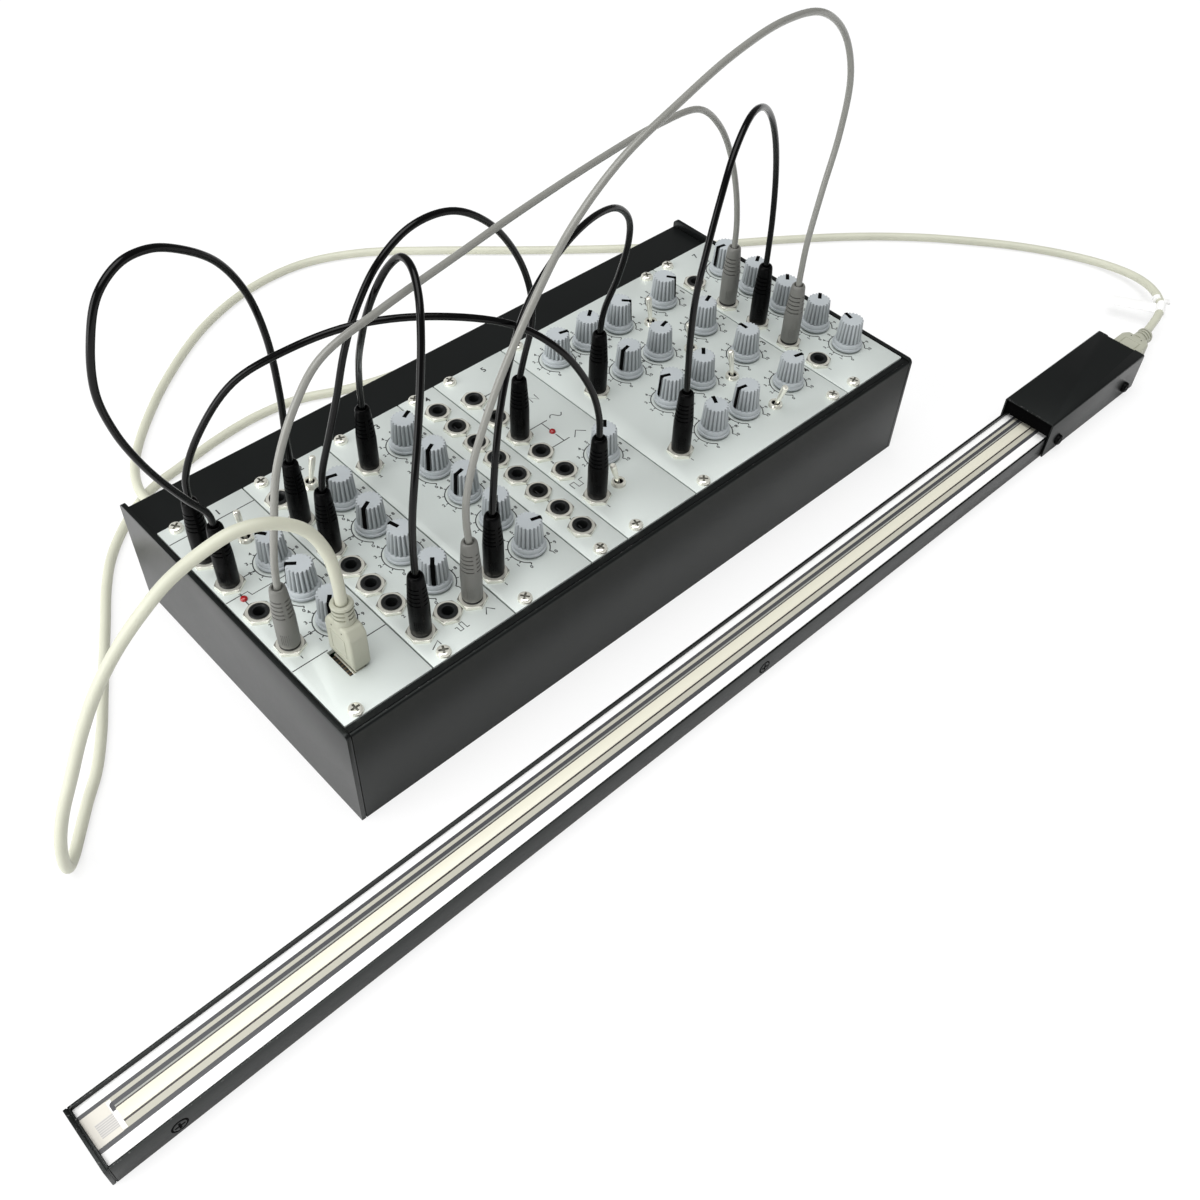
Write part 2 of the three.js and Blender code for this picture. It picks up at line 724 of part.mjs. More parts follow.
function cablePiece() {
  const [slotX, slotY] = modules[0].slotShares;
  const firstWidth = modules[0].units * moduleUnit;
  const startX = firstWidth * slotX + connectorShift;
  const startY = panelHeight * slotY;
  const cordReach = hoodLift + hoodLength + collarLength - cableRadius;
  const farX = rowWidth / 2 + ribbonLength / 2;
  const socketZ = socketCentre - caseHeight;
  const points = [
    [startX, startY, cordReach],
    ...cableRoute,
    [farX + cordReach, ribbonY, socketZ],
  ];
  const connector = connectorSolid();
  const body = cordSolid(points, cableRadius, cableSteps)
    .add(connector.translate([startX, startY, 0]))
    .add(connector.rotate([0, 90, 0]).translate([farX, ribbonY, socketZ]));
  place("control_cable", shaped(body), "ivory");
}

// Slot that the connector's shell passes at the far end of the ribbon controller
function farSlot(farX, clearance) {
  const depth = socketDepth + overrun;
  const slot = block(
    depth + overrun, shellWidth + 2 * clearance,
    socketCentre - shellThickness / 2 - clearance, socketCentre + shellThickness / 2 + clearance,
    farX + overrun - (depth + overrun) / 2, 0,
  );
  return solid(slot);
}

// Ribbon controller: a channel with end plates, a sensor bar in it and a cover over its far end
function ribbonPieces() {
  const near = -ribbonLength / 2;
  const far = ribbonLength / 2;
  const halfWidth = channelWidth / 2;
  const sensorTop = channelHeight - sensorDrop;
  const bodyStart = near + endPlate + endSlit;
  const x = rowWidth / 2;
  const section = [
    [-halfWidth, 0],
    [halfWidth, 0],
    [halfWidth, channelHeight],
    [halfWidth - channelWall, channelHeight],
    [halfWidth - channelWall, channelFloor],
    [channelWall - halfWidth, channelFloor],
    [channelWall - halfWidth, channelHeight],
    [-halfWidth, channelHeight],
  ];
  const trough = alongX(section, far - bodyStart).translate(bodyStart, 0, 0);
  const nearPlate = block(
    endPlate, channelWidth, 0, channelHeight, near + endPlate / 2, 0,
  );
  const foot = block(endPlate + 2 * endSlit, channelWidth, 0, channelFloor, bodyStart, 0);
  const nearWall = block(
    channelWall, channelWidth, 0, channelHeight, bodyStart + channelWall / 2, 0,
  );
  const farWall = block(socketDepth, channelWidth, 0, channelHeight, far - socketDepth / 2, 0);
  const channel = solid(trough)
    .add(solid(nearPlate))
    .add(solid(foot))
    .add(solid(nearWall))
    .add(solid(farWall))
    .subtract(farSlot(far, gap));
  place("ribbon_channel", shaped(channel), "case", x, ribbonY, -caseHeight);

  const barStart = bodyStart + channelWall + gap;
  const barEnd = far - socketDepth - gap;
  const barWidth = channelWidth - 2 * (channelWall + gap);
  const middle = (barStart + barEnd) / 2;
  const bar = block(barEnd - barStart, barWidth, channelFloor + gap, sensorTop, middle, 0);
  const stripStart = barStart + activeMargin;
  const stripEnd = far - coverLength - gap;
  const strip = block(
    stripEnd - stripStart, activeWidth, sensorTop - overrun, sensorTop + activeRise,
    (stripStart + stripEnd) / 2, 0,
  );
  const sensor = solid(bar).add(solid(strip));
  place("ribbon_sensor", shaped(sensor), "sensor", x, ribbonY, -caseHeight);

  place("ribbon_cover", shaped(coverSolid(far)), "case", x, ribbonY, -caseHeight);
}

// Cover: a folded cap with a closed near face, rounded long edges and two screws at the front
function coverSolid(far) {
  const half = coverWidth / 2;
  const start = far - coverLength;
  const inner = half - coverWall;
  const roof = coverHeight - coverWall;
  const quarter = Math.PI / 2;
  const section = [
    [-half, gap],
    [-inner, gap],
    [-inner, roof],
    [inner, roof],
    [inner, gap],
    [half, gap],
    ...arc(half - coverRound, coverHeight - coverRound, coverRound, 0, quarter, 2),
    ...arc(coverRound - half, coverHeight - coverRound, coverRound, quarter, Math.PI, 2),
  ];
  const cap = alongX(section, coverLength).translate(start, 0, 0);
  const flapBottom = channelHeight + gap;
  const nearFlap = block(
    coverWall, coverWidth - coverWall, flapBottom, roof + coverWall / 2,
    start + coverInset + coverWall / 2, 0,
  );
  const farFlap = block(
    coverWall, coverWidth - coverWall, flapBottom, roof + coverWall / 2, far - coverWall / 2, 0,
  );
  let cover = solid(cap).add(solid(nearFlap)).add(solid(farFlap)).subtract(farSlot(far, gap));
  for (const share of coverScrewShares) {
    const head = screwHead(coverScrewRadius, coverScrewHeight);
    head.rotateX(Math.PI / 2);
    head.translate(start + coverLength * share, -half, coverHeight - coverScrewDrop);
    cover = cover.add(solid(head));
  }
  return cover;
}

casePieces();
modulePieces();
leadPieces();
cablePiece();
ribbonPieces();

export default synthesizer;
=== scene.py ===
"""Modular synthesizer: the visible pieces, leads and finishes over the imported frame.

Lengths are in metres. +X runs to the right along the panels, +Y to the back and +Z up.
"""

import json
import math

import bmesh
import bpy
from mathutils import Matrix, Vector


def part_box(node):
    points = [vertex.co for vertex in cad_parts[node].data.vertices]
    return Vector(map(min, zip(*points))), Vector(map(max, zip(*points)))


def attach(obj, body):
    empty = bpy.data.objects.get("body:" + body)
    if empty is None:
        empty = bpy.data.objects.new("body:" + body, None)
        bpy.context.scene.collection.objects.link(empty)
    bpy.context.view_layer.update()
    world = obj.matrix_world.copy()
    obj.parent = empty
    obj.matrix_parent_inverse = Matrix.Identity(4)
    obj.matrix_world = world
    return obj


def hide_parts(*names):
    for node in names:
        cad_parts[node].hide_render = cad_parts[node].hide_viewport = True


bl_info = {
    "name": "Modular Synthesizer",
    "version": (1, 0, 0),
    "blender": (4, 5, 0),
    "location": "View3D > Sidebar > Synthesizer",
    "description": "Builds the visible pieces of a modular synthesizer and its ribbon controller",
    "category": "Add Mesh",
}

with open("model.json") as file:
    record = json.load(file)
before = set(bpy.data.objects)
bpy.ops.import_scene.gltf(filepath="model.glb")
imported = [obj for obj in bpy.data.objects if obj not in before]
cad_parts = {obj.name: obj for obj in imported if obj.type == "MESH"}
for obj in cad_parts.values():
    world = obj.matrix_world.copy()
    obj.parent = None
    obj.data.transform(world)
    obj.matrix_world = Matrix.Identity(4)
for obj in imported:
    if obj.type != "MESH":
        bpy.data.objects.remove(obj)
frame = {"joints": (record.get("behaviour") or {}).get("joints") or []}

MM = 0.001
GAP = 0.3 * MM
MERGE = 0.0005 * MM
QUARTER = math.pi / 2
FACETS = 32

# Rack of panels: one rack unit, the height of a panel and what hangs below it
RACK_UNIT = 5.08 * MM
PANEL_HEIGHT = 128.5 * MM
PANEL_THICKNESS = 2 * MM
JOINT = 0.6 * MM
BOARD_DEPTH = 12.6 * MM
BOARD_THICKNESS = 1.6 * MM
BOARD_MARGIN = 2.6 * MM
RAIL_DEPTH = 9 * MM
RAIL_HEIGHT = 8 * MM

# Case
FRONT_LIP = 4.8 * MM
LIP_DROP = 0.6 * MM
BACK_STRIP = 25.5 * MM
STRIP_DROP = 3.4 * MM
SEAM = 0.8 * MM
SHEET = 1.5 * MM
BEND_RADIUS = 1.4 * MM
END_PLAY = 0.1 * MM
PLATE_CORNER = 2.4 * MM
LIP_GROOVE = 0.3 * MM

# Pale specks along the rims of the coated sheets: painted highlights on the case lip and the
# cover, real wear on the channel
LIP_HIGHLIGHT = 0.3 * MM
LIP_HIGHLIGHT_DROP = 1.2 * MM
COVER_HIGHLIGHT = 0.35 * MM
COVER_HIGHLIGHT_DROP = 0.6 * MM
CHANNEL_WEAR_DROP = 0.2 * MM

# Jacks
NUT_RADIUS = 6.2 * MM
NUT_HEIGHT = 1.5 * MM
NUT_CHAMFER = 0.6 * MM
NUT_TURN = 0.05
NUT_ROUND = 0.16 * MM
NUT_CORNER = 1.1 * MM
RING_RADIUS = 4.1 * MM
RING_HEIGHT = 2.4 * MM
SLEEVE_RADIUS = 3.2 * MM
BORE_RADIUS = 2.35 * MM
BORE_DEPTH = 11.8 * MM
RING_STEP = 0.22 * MM
JACK_BODY = 8.4 * MM

# Knobs
KNOB_LIFT = 0.94 * MM
SKIRT_RADIUS = 7.33 * MM
SKIRT_TOP = 2.2 * MM
GRIP_BASE = 4.3 * MM
GRIP_BASE_RADIUS = 6.15 * MM
GRIP_TOP = 15.3 * MM
GRIP_TOP_RADIUS = 5.45 * MM
FLUTE_DEPTH = 0.95 * MM
SHAFT_RADIUS = 3 * MM
SHAFT_DEPTH = 9 * MM
SHAFT_BORE = 3.85 * MM
POT_BODY = 9.6 * MM
POINTER_WIDTH = 1.75 * MM
POINTER_RISE = 0.1 * MM
POINTER_START = 0.85 * MM
POINTER_ROUND = 0.12 * MM
KNOB_RIM = 0.25 * MM
FLUTE_COLUMNS = 6
FLUTE_SHARES = ((1, 0.14), (2, 0.62), (3, 1))

# Toggle switches
BUSHING_RADIUS = 3.2 * MM
BUSHING_BORE = 1.9 * MM
BUSHING_HEIGHT = 1.8 * MM
TALL_BUSHING_HEIGHT = 3 * MM
BUSHING_DEPTH = 3.9 * MM
BUSHING_ROOT = 2.6 * MM
LEVER_LENGTH = 14 * MM
LEVER_ROOT = 1.55 * MM
LEVER_NECK = 0.85 * MM
LEVER_END = 1.45 * MM
LEVER_ROUND = 0.45 * MM
THREAD_PITCH = 0.5 * MM
THREAD_DEPTH = 0.16 * MM
SWITCH_BODY = 6.6 * MM

# Panel screws and signal lamps
SCREW_INSET = 7.5 * MM
SCREW_EDGE = 3 * MM
SCREW_RADIUS = 3 * MM
SCREW_HEIGHT = 1.9 * MM
CROSS_WIDTH = 0.95 * MM
CROSS_LENGTH = 3.9 * MM
CROSS_DEPTH = 1.5 * MM
SCREW_TURNS = (0.6, 1.1)
LAMP_RADIUS = 1.5 * MM
LAMP_HEIGHT = 1.3 * MM

# Plugs
PLUG_LIFT = 2.5 * MM
TIP_RADIUS = 1.72 * MM
TIP_LENGTH = 14 * MM
PLUG_RADIUS = 4.3 * MM
BARREL_TOP = 17.1 * MM
RELIEF_START = 19.4 * MM
RELIEF_PITCH = 2.05 * MM
RELIEF_GROOVE = 0.8 * MM
RELIEF_SLOT = 0.6 * MM
RELIEF_TAPER = 0.07
RELIEF_SLOTS = 5
PLUG_TOP = 33.3 * MM
PLUG_BEVEL = 0.3 * MM
PLUG_DOME = 1.7 * MM
PLUG_FACING = math.radians(-136)
RIB_TURNS = (-0.34, -0.17, 0, 0.17, 0.34)
RIB_PROUD = 0.14 * MM
RIB_HALF = 0.16 * MM
RIB_ROUND = 0.1 * MM
RIB_SHARES = (0.16, 0.48)
SPINE_TURN = 0.6
SPINE_HALF = 0.6 * MM
SPINE_INSET = 0.02 * MM

# Flat connectors of the control cable
SHELL_WIDTH = 12 * MM
SHELL_THICKNESS = 4.5 * MM
SHELL_LENGTH = 9 * MM
HOOD_WIDTH = 16 * MM
HOOD_THICKNESS = 8 * MM
HOOD_LENGTH = 21 * MM
HOOD_ROUND = 1.1 * MM
HOOD_LIFT = 1 * MM
HOOD_SHOULDER = 3.8 * MM
COLLAR_RADIUS = 4.15 * MM
COLLAR_NECK = 3.1 * MM
COLLAR_LENGTH = 9.4 * MM
COLLAR_SLOTS = 3
COLLAR_PITCH = 2.2 * MM
HOOD_INSET = 2.2 * MM
HOOD_LINE = 0.32 * MM
SHELL_ROUND = 0.4 * MM
DOT_RADIUS = 0.35 * MM
DOT_DEPTH = 0.3 * MM
DOT_SIDE = 3.1 * MM
DOT_RISE = 0.9 * MM
SEAM_WIDTH = 0.16 * MM
SEAM_DEPTH = 0.1 * MM
COLLAR_SPINE = 1.3 * MM
COLLAR_SPINE_DEPTH = 1.2 * MM
COLLAR_SPINE_INSET = 0.62 * MM
COLLAR_SPINE_DROP = 2 * MM
COLLAR_SPINE_TURNS = (math.radians(-105), math.radians(75))
TAG_LENGTH = 10 * MM
TAG_REACH = 27 * MM
TAG_THICKNESS = 0.4 * MM
TIE_LENGTH = 4 * MM
TIE_REACH = 7 * MM
TIE_THICKNESS = 1.4 * MM
TONGUE_ROUND = 0.1 * MM
TONGUE_FALL = 0.08

# Socket in the first panel
SLOT_LONG = 15 * MM
SLOT_SHORT = 8.3 * MM
SOCKET_WALL = 0.7 * MM
SOCKET_SHIFT = (SLOT_SHORT - SHELL_THICKNESS) / 2 - GAP
CONTACT_STRIP = 1.7 * MM

# Ribbon controller
CHANNEL_HEIGHT = 12 * MM
CHANNEL_WALL = 1.1 * MM
CHANNEL_FLOOR = 1.5 * MM
END_PLATE = 1.3 * MM
END_SLIT = 0.25 * MM
END_WALL = 0.7 * MM
WORN_LENGTH = 70 * MM
SENSOR_DROP = 2 * MM
ACTIVE_RISE = 0.25 * MM
TAIL_LENGTH = 9 * MM
TAIL_GAP = 1.6 * MM
HATCH_HALF = 2.7 * MM
HATCH_START = 5 * MM
FILM_RISE = 0.06 * MM
TRACK_INSET = 0.4 * MM
TRACK_CORNER = 1.1 * MM
TRACK_LAP = 0.1 * MM
CHANNEL_SCREWS = (-0.27786, 0.00614)
CHANNEL_SCREW_HEIGHT = 4.9 * MM
FLUSH_RADIUS = 2.45 * MM
FLUSH_HEIGHT = 0.16 * MM
FLUSH_RING = 3.2 * MM
COVER_LENGTH = 85.9 * MM
COVER_WIDTH = 28.4 * MM
COVER_HEIGHT = 21.3 * MM
COVER_WALL = 0.8 * MM
COVER_ROUND = 1.2 * MM
COVER_INSET = 1 * MM
COVER_SCREW_RADIUS = 2.9 * MM
COVER_SCREW_HEIGHT = 2 * MM
COVER_SCREW_SHARES = (0.13, 0.87)
COVER_SCREW_DROP = 15.3 * MM
SOCKET_CENTRE = 10.8 * MM
SOCKET_DEPTH = 12 * MM

# Print: the dial round each knob, from 0 to 10
DIAL_RADIUS = 8.66 * MM
DIAL_TICK = 1.1 * MM
DIAL_NUMBERS = 10.95 * MM
DIAL_SWEEP = math.radians(290)
DIAL_STEPS = 10
INK_RISE = 0.03 * MM

# Stage
CAMERA_LENS = 38.291
CAMERA_SENSOR = 36
CAMERA_NEAR = 0.01
CAMERA_PLACE = (-0.288768, -0.294032, 0.432858)
CAMERA_ANGLES = (41.2259, -2.0294, -43.2574)
FLOOR_SIZE = 12
FLOOR_GLOW = 0.72
ABOVE_PLACE = (-0.15, 0.02, 1.0)
ABOVE_ENERGY = 2.5
ABOVE_ANGLE = math.radians(56)
LEFT_PLACE = (-1.6, 0.3, 0.6)
LEFT_ENERGY = 20
LEFT_SIZE = 1.4
LAMP_AIM = (0, 0.02, 0.0)
WORLD_STRENGTH = 0.32
WORLD_SEEN = 0.68
WORLD_MIRRORED = 0.12
WHITE = (1, 1, 1)

# Rack origin: the front left corner of the row of panels, at the height of their faces
tray_low, tray_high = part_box("case_tray")
plate_low, plate_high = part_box("side_plate_left")
far_plate_low, far_plate_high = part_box("side_plate_right")
RACK = Vector((tray_low.x + END_PLAY, tray_low.y + FRONT_LIP, tray_high.z + LIP_DROP))
CASE_HEIGHT = RACK.z

JACK_COLUMN = 0.177


def jack_rows(*shares):
    """Jacks one above another in the left column of a panel."""
    return [(JACK_COLUMN, share) for share in shares]


# Each panel: width in rack units, then its jacks, lamps and slot at shares of width and height
MODULES = [
    {
        "name": "ribbon_interface",
        "units": 8,
        "jacks": jack_rows(0.3416, 0.5035, 0.6638, 0.8),
        "lamps": [(0.1722, 0.5852)],
        "slot": (0.476, 0.191),
    },
    {
        "name": "oscillator",
        "units": 8,
        "jacks": [
            *jack_rows(0.1261, 0.2708, 0.3751, 0.477, 0.5782, 0.7447, 0.87),
            (0.5094, 0.1323),
            (0.7997, 0.1268),
        ],
    },
    {"name": "divider", "units": 8, "jacks": jack_rows(0.1665, 0.8078)},
    {
        "name": "multiple",
        "units": 4,
        "jacks": [(0.5, 0.1323 + 0.1058 * step) for step in range(8)],
    },
    {
        "name": "lfo",
        "units": 8,
        "jacks": jack_rows(0.2054, 0.3634, 0.4825, 0.5922, 0.7144, 0.8397),
        "lamps": [(0.5044, 0.5409)],
    },
    {
        "name": "formant_filter",
        "units": 20,
        "screw_columns": 2,
        "jacks": [(0.1378, 0.1813), (0.1378, 0.5977)],
    },
    {
        "name": "amplifier",
        "units": 8,
        "jacks": jack_rows(0.1883, 0.3346, 0.4926, 0.6498, 0.8226),
    },
]

# Leads: colour, then the panel and jack at each end, and the points between them in millimetres
# from the rack origin
LEADS = [
    ("black", (0, 3), (4, 0), [
        (8.2, 102.2, 45), (16, 98.8, 64), (30, 91.2, 85), (46.5, 82, 95.5), (68, 70, 103),
        (92, 57.5, 102.5), (119, 43, 94), (135, 34, 79), (145.5, 28.6, 59), (149, 26.8, 44),
    ]),
    ("black", (0, 2), (1, 5), [
        (6, 85, 40), (-1, 83.5, 53), (-9, 82, 69), (-15, 80.5, 84), (-19, 80, 98),
        (-21, 79.5, 115), (-17.5, 80, 132), (-10.5, 81.7, 145.5), (-0.5, 84.2, 151),
        (10.5, 86.8, 150), (21.5, 89.3, 144), (34.5, 92.6, 132), (43.5, 94.6, 115),
        (48.3, 95.6, 93), (49.2, 95.8, 66), (48.2, 95.7, 46),
    ]),
    ("black", (1, 4), (4, 3), [
        (49.5, 74.3, 42), (55, 74.4, 57), (60.5, 74.5, 72), (66.5, 74.6, 90), (74, 74.8, 105),
        (85, 75, 118.5), (100, 75.3, 126.5), (118, 75.6, 125.5), (135, 75.8, 114),
        (149, 76, 94), (156, 76.1, 74), (156.8, 76.1, 58), (152.5, 76.1, 43),
    ]),
    ("black", (2, 1), (1, 0), [
        (87.8, 102.5, 44), (85.8, 98.2, 57), (81.6, 90, 70.5), (78.6, 82.2, 84),
        (78.6, 76.8, 98), (80.3, 71, 112), (83, 65.6, 123), (83.8, 58.5, 130),
        (81.8, 50.2, 131), (77.2, 41, 126.5), (71.5, 33.6, 117.5), (66, 28.3, 105),
        (59.9, 23.4, 90.3), (53.8, 18.8, 77), (49.3, 16.2, 62), (47.9, 16, 46),
    ]),
    ("black", (2, 0), (5, 1), [
        (90, 22, 43), (94, 24.5, 60), (101, 29, 77), (111, 34.5, 91), (124, 41, 101),
        (141, 48, 107), (158, 53.6, 110), (175, 58.5, 109.5), (190, 63, 104),
        (200.5, 66.5, 93), (204, 69.5, 79), (202.5, 73, 61), (198.3, 76, 45),
    ]),
    ("black", (5, 0), (6, 2), [
        (195.6, 22.8, 46), (194.8, 22.7, 62), (196, 23.2, 82), (202, 25.2, 100),
        (211, 29, 116), (222, 34, 129), (236, 40, 135.5), (250, 46, 132.5), (264, 52, 122),
        (277, 57.5, 104), (286, 61.3, 82), (290.4, 62.9, 59), (291.5, 63.3, 43),
    ]),
    ("grey", (0, 0), (6, 3), [
        (8.2, 43.9, 45), (11.5, 44.3, 62), (17.5, 45.4, 84), (29, 47.2, 103), (42, 49.4, 114),
        (70, 53, 118.5), (104, 57.5, 121), (139, 62.5, 123), (185, 69, 124),
        (222, 73.8, 123.5), (250, 78, 118.5), (267.5, 80.8, 104), (279, 82.4, 86),
        (287, 83.2, 65), (291, 83.5, 46),
    ]),
    ("grey", (1, 8), (6, 1), [
        (72.4, 16.3, 42), (73, 16.4, 54), (77, 17, 68), (84, 18, 83), (94, 19.2, 100),
        (108, 20.6, 119), (127, 23, 139), (152, 25.9, 154), (182, 29, 163), (214, 33, 169.5),
        (246, 37.5, 170.5), (274, 41.5, 164), (294, 43.8, 148.5), (303.5, 44.2, 128),
        (303, 44, 104), (297, 43.4, 79), (292.3, 43, 55), (291.7, 43, 42),
    ]),
]

# Control cable: from the first panel over the left side, along the floor behind the case and
# back, and round the right side to the far end of the ribbon controller
CABLE_ROUTE = [
    (20.6, 24.5, 46), (18.5, 25.2, 60), (13, 26.8, 72), (3, 29.3, 79.5), (-8, 32, 81),
    (-20, 34.3, 77.5), (-32, 36.6, 71), (-43, 38.6, 61.5), (-54, 41, 49), (-64, 43, 34.5),
    (-73.5, 44, 18), (-82.5, 44.3, 0), (-90, 44.4, -15), (-94.8, 44.4, -28),
    (-97, 44.8, -40), (-96.3, 47.4, -48.5), (-92.3, 53, -52.2), (-85.5, 61, -52.5),
    (-77, 71, -52.5), (-67, 82, -52.5), (-56, 98, -52.5), (-46, 115, -52.5),
    (-36, 132, -52.5), (-26, 149, -52.5), (-16, 166, -52.5), (-6, 180, -52.5),
    (6, 192, -52.5), (18.5, 201.5, -52.5), (32, 208.6, -52.5), (50, 213, -52.5),
    (72, 218, -52.5), (98, 220.5, -52.5), (122, 217.5, -52.5), (144, 208.5, -52.5),
    (166, 202.5, -52.5), (195, 200.3, -52.5), (230, 200, -52.5), (270, 200, -52.5),
    (306, 200, -52.5), (322, 198.5, -52.5), (335, 191.5, -52.5), (339.5, 181.8, -52.5),
    (335, 172, -52.5), (322, 165, -52.5), (306, 163.5, -52.5), (280, 163.5, -52.5),
    (240, 164, -52.5), (200, 164, -52.5), (160, 164, -52.5), (120, 164, -52.5),
    (80, 163.8, -52.5), (53, 164.2, -52.2), (38, 167.5, -51), (28, 176, -48.7),
    (24, 187, -47.2), (23.6, 197, -46.8), (25, 207, -47.1), (31.5, 223, -49.5),
    (42, 239, -51.9), (57, 255.5, -52.5), (80, 276, -52.5), (117, 301, -52.5),
    (154, 314.5, -52.5), (190, 316, -52.5), (222, 304, -52.5), (258, 277, -52.5),
    (295, 246, -52.5), (335, 214, -52.5), (381, 180, -52.5), (425, 151, -52.5),
    (462, 124, -52.5), (490, 99, -52.5), (511, 76, -52.5), (527, 56, -52.5),
    (541, 34, -52.5), (550, 10, -51.5), (549.5, -12, -49), (541, -28, -46.5),
    (526, -40, -44.7),
]


class SynthSizes(bpy.types.PropertyGroup):
    """Sizes of the small details that a user may change."""

    flutes: bpy.props.IntProperty(
        name="Knob flutes", description="Grooves round the grip of a knob", default=18, min=8,
    )
    edge: bpy.props.FloatProperty(
        name="Edge round", description="Rounding of the edges of the sheet metal",
        default=0.25 * MM, unit="LENGTH", precision=5,
    )
    ink_line: bpy.props.FloatProperty(
        name="Printed line", description="Width of the printed lines on the panels",
        default=0.48 * MM, unit="LENGTH", precision=5,
    )
    number_size: bpy.props.FloatProperty(
        name="Number size", description="Size of the printed numbers on the panels",
        default=2.35 * MM, unit="LENGTH", precision=5,
    )
    lead_diameter: bpy.props.FloatProperty(
        name="Lead diameter", description="Diameter of the patch leads",
        default=2.8 * MM, unit="LENGTH", precision=5,
    )
    cable_diameter: bpy.props.FloatProperty(
        name="Cable diameter", description="Diameter of the control cable",
        default=4.6 * MM, unit="LENGTH", precision=5,
    )


def colour(name, description, default):
    """A colour setting with its default in linear red, green and blue."""
    return bpy.props.FloatVectorProperty(
        name=name, description=description, default=default, subtype="COLOR", min=0, max=1,
    )


class SynthColours(bpy.types.PropertyGroup):
    """Colours of the finishes."""

    steel: colour("Coated steel", "Case, channel and cover", (0.0035, 0.004, 0.004))
    panel: colour("Panel", "Anodised face of the panels", (0.62, 0.665, 0.64))
    knob: colour("Knob", "Plastic of the knobs", (0.43, 0.463, 0.48))
    nickel: colour("Nickel", "Nuts, screws, bushings and levers", (0.97, 0.95, 0.85))
    black: colour("Black plastic", "Jack rings, plugs and leads", (0.0016, 0.0016, 0.0017))
    grey: colour("Grey plastic", "Grey plugs and leads", (0.155, 0.155, 0.142))
    ivory: colour("Ivory plastic", "Jacket of the control cable", (0.56, 0.565, 0.46))
    hood: colour("Ivory hoods", "Connectors of the control cable", (0.41, 0.415, 0.335))
    lamp: colour("Lamp", "Lens of the signal lamps", (0.30, 0.006, 0.008))
    white: colour("White", "Edge strips of the sensor and the tag", (0.93, 0.93, 0.92))
    cream: colour("Cream", "Film of the sensor", (0.72, 0.70, 0.585))
    board: colour("Circuit board", "Boards below the panels", (0.012, 0.09, 0.035))
    floor: colour("Floor", "Floor under the part", (0.95, 0.95, 0.95))


def sizes():
    """The size settings."""
    return bpy.context.scene.synth_sizes


def colours():
    """The colour settings."""
    return bpy.context.scene.synth_colours


class Value:
    """A node socket that Python expressions can use."""

    def __init__(self, tree, socket):
        self.tree = tree
        self.socket = socket

    def maths(self, operation, first, second=None):
        """A Math node over two values."""
        made = self.tree.nodes.new("ShaderNodeMath")
        made.operation = operation
        for socket, value in zip(made.inputs, (first, second)):
            if isinstance(value, Value):
                self.tree.links.new(value.socket, socket)
            elif value is not None:
                socket.default_value = value
        return Value(self.tree, made.outputs[0])

    def __add__(self, other):
        return self.maths("ADD", self, other)

    def __radd__(self, other):
        return self.maths("ADD", other, self)

    def __sub__(self, other):
        return self.maths("SUBTRACT", self, other)

    def __rsub__(self, other):
        return self.maths("SUBTRACT", other, self)

    def __mul__(self, other):
        return self.maths("MULTIPLY", self, other)

    def __rmul__(self, other):
        return self.maths("MULTIPLY", other, self)

    def __truediv__(self, other):
        return self.maths("DIVIDE", self, other)

    def __rtruediv__(self, other):
        return self.maths("DIVIDE", other, self)

    def __gt__(self, other):
        return self.maths("GREATER_THAN", self, other)

    def __lt__(self, other):
        return self.maths("LESS_THAN", self, other)

    def wave(self):
        """The sine of the value."""
        return self.maths("SINE", self)

    def size(self):
        """The value without its sign."""
        return self.maths("ABSOLUTE", self)


